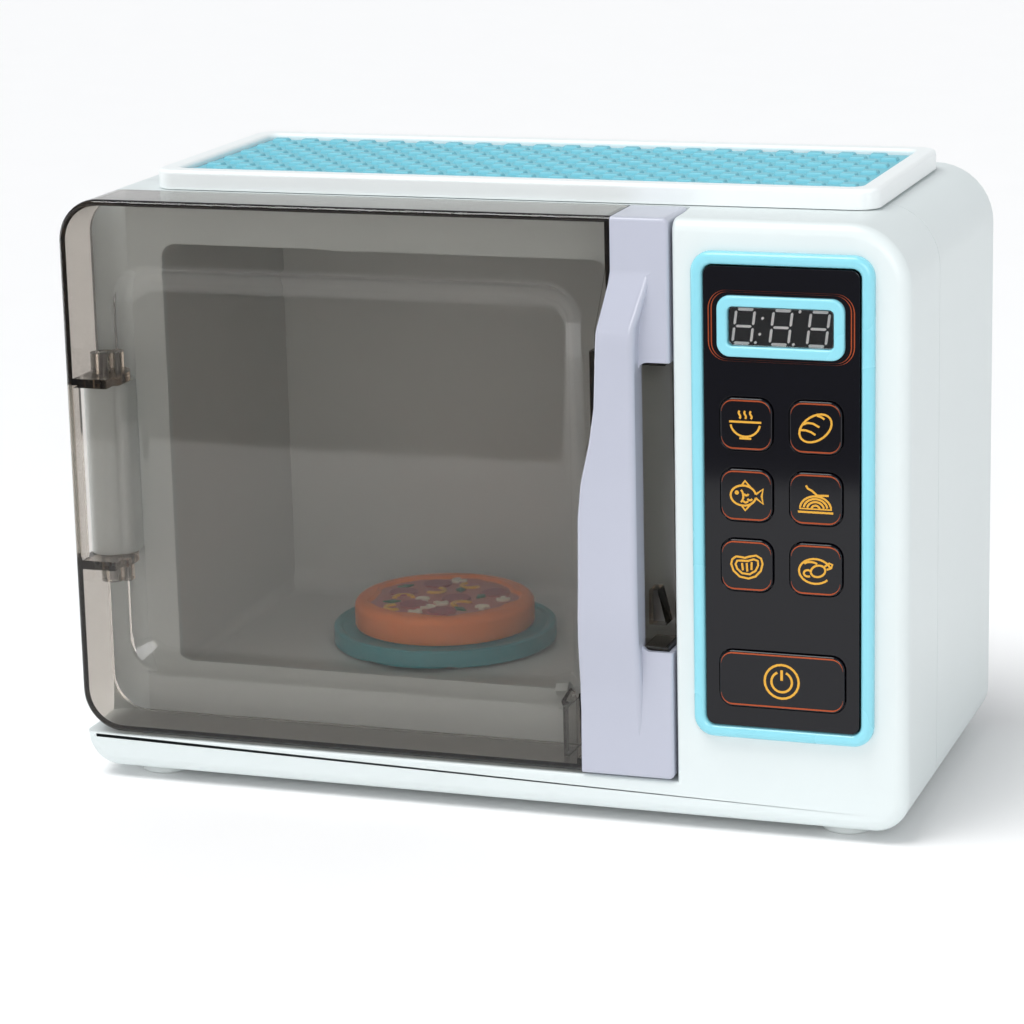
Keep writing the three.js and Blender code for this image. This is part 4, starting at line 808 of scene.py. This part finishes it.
def door_handle():
    """End cap over the door's free edge, with the grip that bows forward and the notch for the fingers."""
    end = (DOOR_RIGHT, DOOR_BACK, TOP)
    cap = plate("handle_cap", (LEFT, CAP_FRONT, DOOR_BOTTOM), end, DOOR_RADII, steps=6)
    bevel(cap, "FACE", front_at(CAP_FRONT), 1.2, 6)
    combine(cap, "INTERSECT", [cap_side(0)])
    low = (0, CAP_FRONT + CAP_WALL, DOOR_BOTTOM + CAP_WALL)
    carve(cap, block("cap_hollow", low, (DOOR_RIGHT - CAP_WALL, DOOR_BACK + OVER, TOP - CAP_WALL)))
    low = (POCKET_LEFT + FIT, CAP_FRONT, NOTCH_BOTTOM)
    weld(cap, bowed_grip(), block("bar", low, (NOTCH_LEFT - FIT, -64, NOTCH_TOP)))
    low, end = (NOTCH_LEFT, GRIP_FRONT - OVER, NOTCH_BOTTOM), (DOOR_RIGHT + OVER, DOOR_BACK + OVER, NOTCH_TOP)
    carve(cap, plate("notch", low, end, (FIT, 3, 3, FIT), steps=6))
    keep(cap, "handle_lavender", lavender_abs, "door_handle", body="door", angle=16)


# ---- control panel

DISPLAY = middle("display_frame", 2)[::2]
PANEL_FRONT = cad("panel_plate")[0][Y]
THROUGH = (-90, -50)  # depths of a tool that cuts right through the panel
KEYS = {name: middle(f"key_{name}")[::2] for name in ("soup", "bread", "fish", "dish", "steak", "roast")}
KEY_SIZE = (17.6, 17.6)
POWER, POWER_SIZE = (108.3, 55.8), (42.6, 19.3)
KEY_FRONT, FLANGE = -71.6, 1.2
PRINT = (-0.06, 0.02)  # a print's own depths, before and behind the face that carries it
DIGITS, DIGIT_BASE, DIGIT_WIDTH, DIGIT_STEP = (92.3, 104.8, 117.2), 169, 6.2, 5.55
BAR, BAR_GAP = 0.42, 0.45  # half a bar's width, and its distance from a corner
POINTS, POINT = ((101.4, 177.4), (101.1, 172.1), (100, 169.3), (112.7, 169.2), (113.5, 180)), 0.5


def grown(size, by):
    return [side + 2 * by for side in size]


def ring_piece(name, node, width, radii, edge, steps):
    """A frame as wide as stated round a hole, with its front edges rounded."""
    rim = plate(name, *cad(node), radii[0], steps=steps[0])
    carve(rim, plate("hole", *drawn_in(cad(node), width, THROUGH), radii[1], steps=steps[1]))
    bevel(rim, "EDGE", edges_at(Y, cad(node)[0][Y]), edge, 4)
    keep(rim, "bezel_blue", sky_abs, node)


def panel_frames():
    ring_piece("blue_bezel", "panel_bezel", 4.3, (7, 3), 1.9, (10, 6))
    ring_piece("display_rim", "display_frame", 3.6, (4.4, 1.6), 0.9, (8, 4))


def black_plate():
    """Gloss black front with a close hole for each key and for the display's frame."""
    face = plate("black_front", *cad("panel_plate"), 3, steps=6)
    for centre, size in (*((spot, KEY_SIZE) for spot in KEYS.values()), (POWER, POWER_SIZE)):
        carve(face, even_plate("hole", centre, grown(size, FIT), THROUGH, 4.8, 6))
    carve(face, even_plate("hole", DISPLAY, (36.5, 14.1), THROUGH, 2, 4))
    bevel(face, "EDGE", edges_at(Y, PANEL_FRONT), 0.22, 2)
    keep(face, "panel_black", gloss_black, "panel_plate")


def outline(name, centre, size, sides, ends, radius, y):
    """A printed line round a key or frame: sides wide left and right, ends wide at top and bottom. Where
    the sides are the narrower ones, it shows at the top and bottom only, as a painted reflection: the
    lit top and bottom of a foil ring whose sides stay dark."""
    line = even_plate(name, centre, size, [y + v for v in PRINT], radius)
    inner = (size[0] - 2 * sides, size[1] - 2 * ends)
    carve(line, even_plate("inside", centre, inner, THROUGH, radius - (sides + ends) / 2))
    # Painted reflection: the sides are cut away, so the line shows only where a foil ring catches the light
    if sides < ends:
        gap = (2 * size[0] + OVER, size[1] - 2 * radius)
        carve(line, even_plate("gap", centre, gap, THROUGH, 0.5, 1))
    return line


def strokes(name, lines, centre, y, pen):
    """Printed lines, each a list of (right, up) points about the centre, or (points, True) if closed."""
    curve = bpy.data.curves.new(name, "CURVE")
    curve.dimensions = "3D"
    curve.bevel_depth = pen / 2 * MM
    curve.bevel_resolution = 1
    for line in lines:
        points, closed = line if isinstance(line, tuple) else (line, False)
        spline = curve.splines.new("POLY")
        spline.points.add(len(points) - 1)
        for spot, (u, v) in zip(spline.points, points):
            spot.co = (u * MM, 0, v * MM, 1)
        spline.use_cyclic_u = closed
    curve.use_fill_caps = True
    picture = bpy.data.objects.new(name, curve)
    bpy.context.scene.collection.objects.link(picture)
    only(picture)
    bpy.ops.object.convert(target="MESH")
    picture = bpy.context.object
    picture.scale = (1, 0.12, 1)
    picture.location = (centre[0] * MM, y * MM, centre[1] * MM)
    placed(name)
    merged(picture, 0.001)
    return picture


def oval(u, v, width, height, start=0, end=360, tilt=0, count=24):
    """Points of an oval or of part of it, in degrees from the right, turned by tilt."""
    points = []
    c, s = math.cos(math.radians(tilt)), math.sin(math.radians(tilt))
    for i in range(count + 1):
        angle = math.radians(start + (end - start) * i / count)
        a, b = width * math.cos(angle), height * math.sin(angle)
        points.append((u + a * c - b * s, v + a * s + b * c))
    return points


def wave(u, low, high, swing):
    """A wisp of steam: a line that swings to both sides as it rises."""
    return [(u + swing * math.sin(i * math.pi / 3), low + (high - low) * i / 6) for i in range(7)]


# What is printed on each key, in millimetres right and up from its centre
PICTURES = {
    "soup": [[(-5.6, 0.9), (5.2, 0.9)], oval(-0.2, 0.7, 5, 4.7, 190, 350, 0, 14),
             [(-2.2, -4.6), (1.8, -4.6)], *(wave(u, 2, 4.6, 0.3) for u in (-2.1, -0.2, 1.7))],
    "bread": [(oval(0, 0, 6, 3.9, 0, 345, 36), True),
              [(-4.2, 1.1), (-2.6, 1.7), (-0.7, 1.5), (1.3, 0.4)],
              [(-5.1, -0.8), (-3.3, -0.8), (-1.5, -1.3), (0, -2.2)], [(0.5, 4.2), (1.8, 3.9), (3, 3.1)]],
    "fish": [oval(-1, 0, 4.3, 3.4, 10, 350),
             [(3.2, 0.6), (5.7, 2.5), (5.2, 0), (5.7, -2.5), (3.2, -0.6)],
             [(-1.6, 3.3), (-0.4, 5), (1.4, 2.9)], [(-1.6, -3.3), (-0.4, -5), (1.4, -2.9)],
             (oval(-3.2, 0.9, 0.4, 0.4, 0, 330, 0, 8), True), oval(-2.6, -0.2, 1.6, 2.4, -60, 60, 0, 8),
             *(oval(u, v, 0.8, 0.8, 200, 340, 0, 6) for u, v in ((0, 0.9), (1.2, -0.7), (-0.2, -1.5)))],
    "dish": [(oval(0, -3.2, 5.2, 4.3, 0, 180, 0, 16), True), [(-5.9, -4.3), (5.9, -4.3)],
             *(oval(0, -3.2, w, 3.6 * w / 4.2, 8, 172, 0, 10) for w in (1.4, 2.8, 4)),
             [(-3.2, 4.6), (-2.6, 3.6), (-1.2, 2.9), (0.6, 1.4), (4.4, 1.5)]],
    "steak": [([(-5.3, 0.4), (-4.9, 2), (-3.6, 3), (-2, 2.9), (-0.6, 2.7), (1.2, 3.3), (3.2, 3.7), (4.9, 2.8),
                (5.4, 1), (4.8, -1.4), (3, -3.4), (0.6, -4.3), (-2.4, -3.8), (-4.5, -1.9)], True),
              ([(-3.8, 0.4), (-3.2, 1.6), (-1.6, 1.7), (0.4, 1.7), (2.4, 2.4), (3.8, 1.9), (3.9, 0.4),
                (3, -1.5), (1, -2.8), (-1.6, -2.6), (-3.2, -1.2)], True),
              [(-1.6, 0.9), (-1.3, -1.6)], [(0, 1), (0.2, -1.9)], [(1.7, 1.4), (1.6, -1.3)]],
    "roast": [oval(-0.2, -0.4, 5.4, 4.2, 20, 320), (oval(0.8, -0.3, 2.5, 1.9, 0, 345, 20), True),
              [(3, 1.4), (4.6, 2.6), (5.6, 2.2), (5.2, 1), (3.7, 0.4)],
              oval(-2.6, -1.2, 1.4, 1.1, 30, 300, 0, 10), oval(-1.6, 1.8, 2.2, 0.9, 20, 170, 0, 8)],
}
POWER_SIGN = [(oval(0, 0, 5.8, 5.8), True), oval(0, -0.1, 3.5, 3.5, 115, 425), [(0, 0.4), (0, 4)]]


def key(name, node, centre, size, picture, lines, pen):
    """A key with its copper outline and gold picture. Its cap has a rounded front, the flange that holds
    it behind the panel, and the cup for the mat's dome."""
    body = f"{name}_button"
    cap = even_plate(f"{name}_cap", centre, size, (KEY_FRONT, -67.8), 4.5)
    bevel(cap, "FACE", front_at(KEY_FRONT), 0.7, 4)
    weld(cap, even_plate("flange", centre, grown(size, FLANGE), (-68.3, -67.3), 5.7, 6))
    carve(cap, disc("cup", (centre[0], -69.1, centre[1]), 4.7, OVER, TO_BACK, 32))
    keep(cap, "key_black", key_black, node, body=body)
    # The copper line shows at the top and bottom only: painted reflection of a ring lit there and dark at its
    # sides
    line = outline(f"{name}_outline", centre, grown(size, -0.55), 0.05, 0.5, 4, KEY_FRONT)
    keep(line, "handle_lavender", copper_foil, body=body)
    drawn = strokes(f"{name}_{picture}", lines, centre, KEY_FRONT - PRINT[1], pen)
    keep(drawn, "handle_lavender", gold_ink, body=body)


def keys():
    """Six picture keys and the wide power key."""
    for name, centre in KEYS.items():
        key(name, f"key_{name}", centre, KEY_SIZE, "picture", PICTURES[name], 0.8)
    key("power", "power_key", POWER, POWER_SIZE, "sign", POWER_SIGN, 0.9)


def display():
    """The frame's copper outline, the lens, and the dark module with three unlit digits and points."""
    lines = [outline("line", DISPLAY, (w, h), 0.4, 0.02, r, PANEL_FRONT)
             for w, h, r in ((49, 23.4, 6.2), (47, 22.2, 5.4))]
    keep(as_one("display_outline", lines), "handle_lavender", copper_foil)
    lens = plate("display_window", *cad("display_lens"), 1.3, steps=4)
    bevel(lens, "FACE", front_at(cad("display_lens")[0][Y]), 0.25, 2)
    keep(lens, "clear", lens_clear, "display_lens")
    module = plate("display_module", *cad("led_display"), 0.8, steps=3)
    keep(module, "display", display_black, "led_display")
    front = cad("led_display")[0][Y]

    def bar(x, z, end_x, end_z):
        flat = block("bar", (x, front - 0.2, z), (end_x, front, end_z))
        bevel(flat, "EDGE", lambda m, d: abs(d.y) > FACING, 0.4, 1)
        return flat
    bars = []
    for x in DIGITS:
        levels = [DIGIT_BASE + i * DIGIT_STEP for i in range(3)]
        bars += [bar(x + BAR_GAP, z - BAR, x + DIGIT_WIDTH - BAR_GAP, z + BAR) for z in levels]
        bars += [bar(side - BAR, z + BAR_GAP, side + BAR, z + DIGIT_STEP - BAR_GAP)
                 for z in levels[:2] for side in (x, x + DIGIT_WIDTH)]
    bars += [bar(x - POINT, z - POINT, x + POINT, z + POINT) for x, z in POINTS]
    digits = as_one("display_digits", bars)
    push_points(digits, lambda p: (p.x + 0.13 * (p.z - 175), p.y, p.z))  # the digits lean
    keep(digits, "display", segment_grey)


# ---- turntable and toy pizza

SPIN_X, SPIN_Y = middle("turntable")[:Z]
SAUCE_BOTTOM, TOPPING_BOTTOM = 52.1, 52.6
DOUGH_WAVES = ((5, 0.035, 1), (9, 0.022, 0), (17, 0.012, 2))  # count round the edge, height and start
DOUGH_FROM, DOUGH_TO, DOUGH_LOWEST = 20, 28, 50
TOPPINGS = {  # places of each kind: distance from the middle, degrees, turn
    "salami": [(5, 350, 0), (18.2, 118, 20), (19, 30, 50), (19.5, 287, 80), (17, 172, 10), (14.5, 240, 70)],
    "pepper": [(17.5, 76, 150), (15, 198, 20), (22, 235, 120), (12.5, 320, 60), (9.5, 130, 250)],
    "leaf": [(19.8, 214, 20), (13.5, 16, 75), (18.5, 308, 150), (10.5, 75, 110), (21.5, 152, 40)],
    "cap": [(8.6, 222, 40), (21.2, 330, 10), (22, 96, 100), (15.5, 268, 300), (22.3, 4, 200),
            (22.5, 262, 170), (9.6, 283, 250)],
}


def round_slab(name, node):
    """A disc as high and wide as a round node, with its lowest and highest place."""
    (left, _, low), (right, _, high) = cad(node)
    return disc(name, (SPIN_X, SPIN_Y, low), (right - left) / 2, high - low, sides=96), low, high


def turntable():
    """Teal dish with a raised rim and a round recess for the drive below."""
    dish, low, high = round_slab("teal_turntable", "turntable")
    inset(dish, top_at(high), (2.6, 0), (0.8, -0.8))
    inset(dish, low_at(low), (35.5, 0), (0.2, -3.2))

    def rim_edge(m, d):
        outer = (m - Vector((SPIN_X, SPIN_Y, low))).length > 30
        return abs(m.z - high) < EDGE_NEAR or (abs(m.z - low) < EDGE_NEAR and outer)
    bevel(dish, "EDGE", rim_edge, 0.8, 3)
    keep(dish, "teal", teal_abs, "turntable", body="turning_table")


def uneven(piece):
    """Moves the inner edge of the dough in and out, as dough sets by itself."""
    def moved(p):
        x, y = p.x - SPIN_X, p.y - SPIN_Y
        if not DOUGH_FROM < math.hypot(x, y) < DOUGH_TO or p.z < DOUGH_LOWEST:
            return p
        angle = math.atan2(y, x)
        grow = 1 + sum(height * math.sin(count * angle + start) for count, height, start in DOUGH_WAVES)
        return x * grow + SPIN_X, y * grow + SPIN_Y, p.z
    push_points(piece, moved)


def topping_kinds():
    """One of each topping, at the middle: salami slice, half pepper ring, leaf and half a mushroom cap."""
    z = TOPPING_BOTTOM
    salami = disc("salami", (0, 0, z), 5.4, 0.8, sides=32)
    bevel(salami, "FACE", top_at(z + 0.8), 0.5, 2)
    pepper = disc("pepper", (0, 0, z), 4.2, 0.9, sides=32)
    carve(pepper, disc("middle", (0, 0, z - OVER), 2.6, 2 * OVER, sides=32))
    carve(pepper, block("rest", (-9, -9, z - OVER), (9, -0.8, z + OVER)))
    bevel(pepper, "EDGE", edges_at(Z, z + 0.9), 0.3, 1)
    # A leaf comes to a point at both ends
    leaf = disc("leaf", (0, 0, z), 3.3, 0.8, sides=24)
    push_points(leaf, lambda p: (p.x, p.y * 0.55 * (1 - abs(p.x) / 3.35), p.z))
    bevel(leaf, "FACE", top_at(z + 0.8), 0.25, 1)
    cap = disc("cap", (0, 0, z), 2.7, 1.1, sides=20)
    carve(cap, block("half", (-9, -9, z - OVER), (9, -0.4, z + OVER)))
    weld(cap, block("stem", (-0.9, -3, z), (0.9, 0, z + 0.9)))
    bevel(cap, "EDGE", edges_at(Z, z + 1.1), 0.35, 2)
    return {"salami": (salami, salami_paint), "pepper": (pepper, pepper_paint), "leaf": (leaf, leaf_paint),
            "cap": (cap, mushroom_paint)}


def pizza():
    """Thick crust with an uneven inner edge, a sunken face of sauce, and pressed toppings."""
    crust, low, high = round_slab("pizza_crust", "toy_pizza")
    bevel(crust, "FACE", top_at(high), 3.2, 6)
    bevel(crust, "FACE", low_at(low), 0.8, 2)
    inset(crust, top_at(high), (2.2, 0), (1.7, -1.5))
    uneven(crust)
    keep(crust, "food", crust_vinyl, "toy_pizza", body="pizza")
    sauce = disc("pizza_sauce", (SPIN_X, SPIN_Y, SAUCE_BOTTOM), 26.2, 0.7, sides=96)
    bevel(sauce, "FACE", top_at(SAUCE_BOTTOM + 0.7), 0.4, 2)
    uneven(sauce)
    keep(sauce, "food", sauce_vinyl, body="pizza")
    for kind, (one, paint) in topping_kinds().items():
        pieces = []
        for distance, degrees, turn in TOPPINGS[kind]:
            angle = math.radians(degrees)
            place = (SPIN_X + distance * math.cos(angle), SPIN_Y + distance * math.sin(angle), 0)
            pieces.append(copied(one, f"{kind}_{len(pieces)}", place, turn))
        bpy.data.objects.remove(one)
        keep(as_one(f"pizza_{kind}_pieces", pieces), "food", paint, body="pizza")


# ---- back, screws and inner pieces

def screws():
    """Pan head with a cross recess, one model copied to each place."""
    (_, start, _), (_, end, _) = cad("housing_screw_1")
    head = end - 2
    one = disc("screw", (0, head, 0), 3, 2, TO_BACK, 32)
    bevel(one, "FACE", back_at(end), 0.8, 3)
    for x, z in ((1.9, 0.4), (0.4, 1.9)):
        carve(one, block("cross", (-x, end - 1, -z), (x, end + OVER, z)))
    weld(one, disc("shank", (0, start, 0), 1.3, head - start + 0.1, TO_BACK, 20))
    for i, (x, _, z) in enumerate(POSTS, 1):
        keep(copied(one, f"pan_screw_{i}", (x, 0, z)), "steel", plated_steel, f"housing_screw_{i}")
    x, _, z = middle("battery_cover_screw")
    low, high = cad("battery_cover_screw")
    twin = copied(one, "cover_pan_screw", (x, high[Y] - end, z))
    push_points(twin, lambda p: (p.x, max(p.y, low[Y]), p.z))
    keep(twin, "steel", plated_steel, "battery_cover_screw", body="cover")
    bpy.data.objects.remove(one)


def battery_door():
    """Cover in the back with round corners, finger grooves and the deep seat of its screw."""
    low, high = cad("battery_cover")
    lid = plate("battery_lid", (low[X], high[Y] - 2.1, low[Z]), high, 1.2, steps=3)
    bevel(lid, "FACE", back_at(high[Y]), 0.5, 3)
    x, _, z = middle("battery_cover_screw")
    weld(lid, disc("cup", (x, low[Y], z), 5.2, 4.4, TO_BACK, 40))
    carve(lid, disc("well", (x, low[Y] + 1.6, z), 3.6, OVER, TO_BACK, 40))
    for i in range(5):
        top = high[Z] - 7.6 - 3 * i
        groove = ((x - 12, high[Y] - 0.6, top - 1.4), (x + 12, high[Y] + OVER, top))
        carve(lid, plate("groove", *groove, 0.6, steps=3))
    keep(lid, "housing_white", white_abs, "battery_cover", body="cover")


def inner_pieces():
    """Liner, catch and lamp lens get round edges, and the other pieces keep their CAD form."""
    smoothed("cavity_liner", liner_styrene, "liner_grey", 0.4)
    smoothed("catch_striker", white_abs, "housing_white", 0.3)
    smoothed("lamp_lens", lamp_clear, "clear", 0.3)
    plain = {
        plated_steel: ("hinge_pin_upper", "hinge_pin_lower", "idler_axle", "gear_motor", "contact_left",
                       "contact_right"),
        rubber: ("key_mat",),
        board_mask: ("circuit_board",),
        case_grey: ("gearbox_case", "gearbox_cover", "battery_box", "speaker"),
        acetal: ("drive_spindle", "output_gear", "idler_gear", "motor_pinion"),
        cell_film: ("battery_cell_1", "battery_cell_2", "battery_cell_3"),
        mushroom_paint: ("lamp_led",),
    }
    for finish, names in plain.items():
        for name in names:
            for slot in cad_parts[name].material_slots:
                slot.material = finish


bpy.context.scene.view_settings.view_transform = "Standard"
put_camera()
studio()
front_shell()
rear_shell()
top_pieces()
feet()
door_shell()
door_handle()
panel_frames()
black_plate()
keys()
display()
turntable()
pizza()
screws()
battery_door()
inner_pieces()
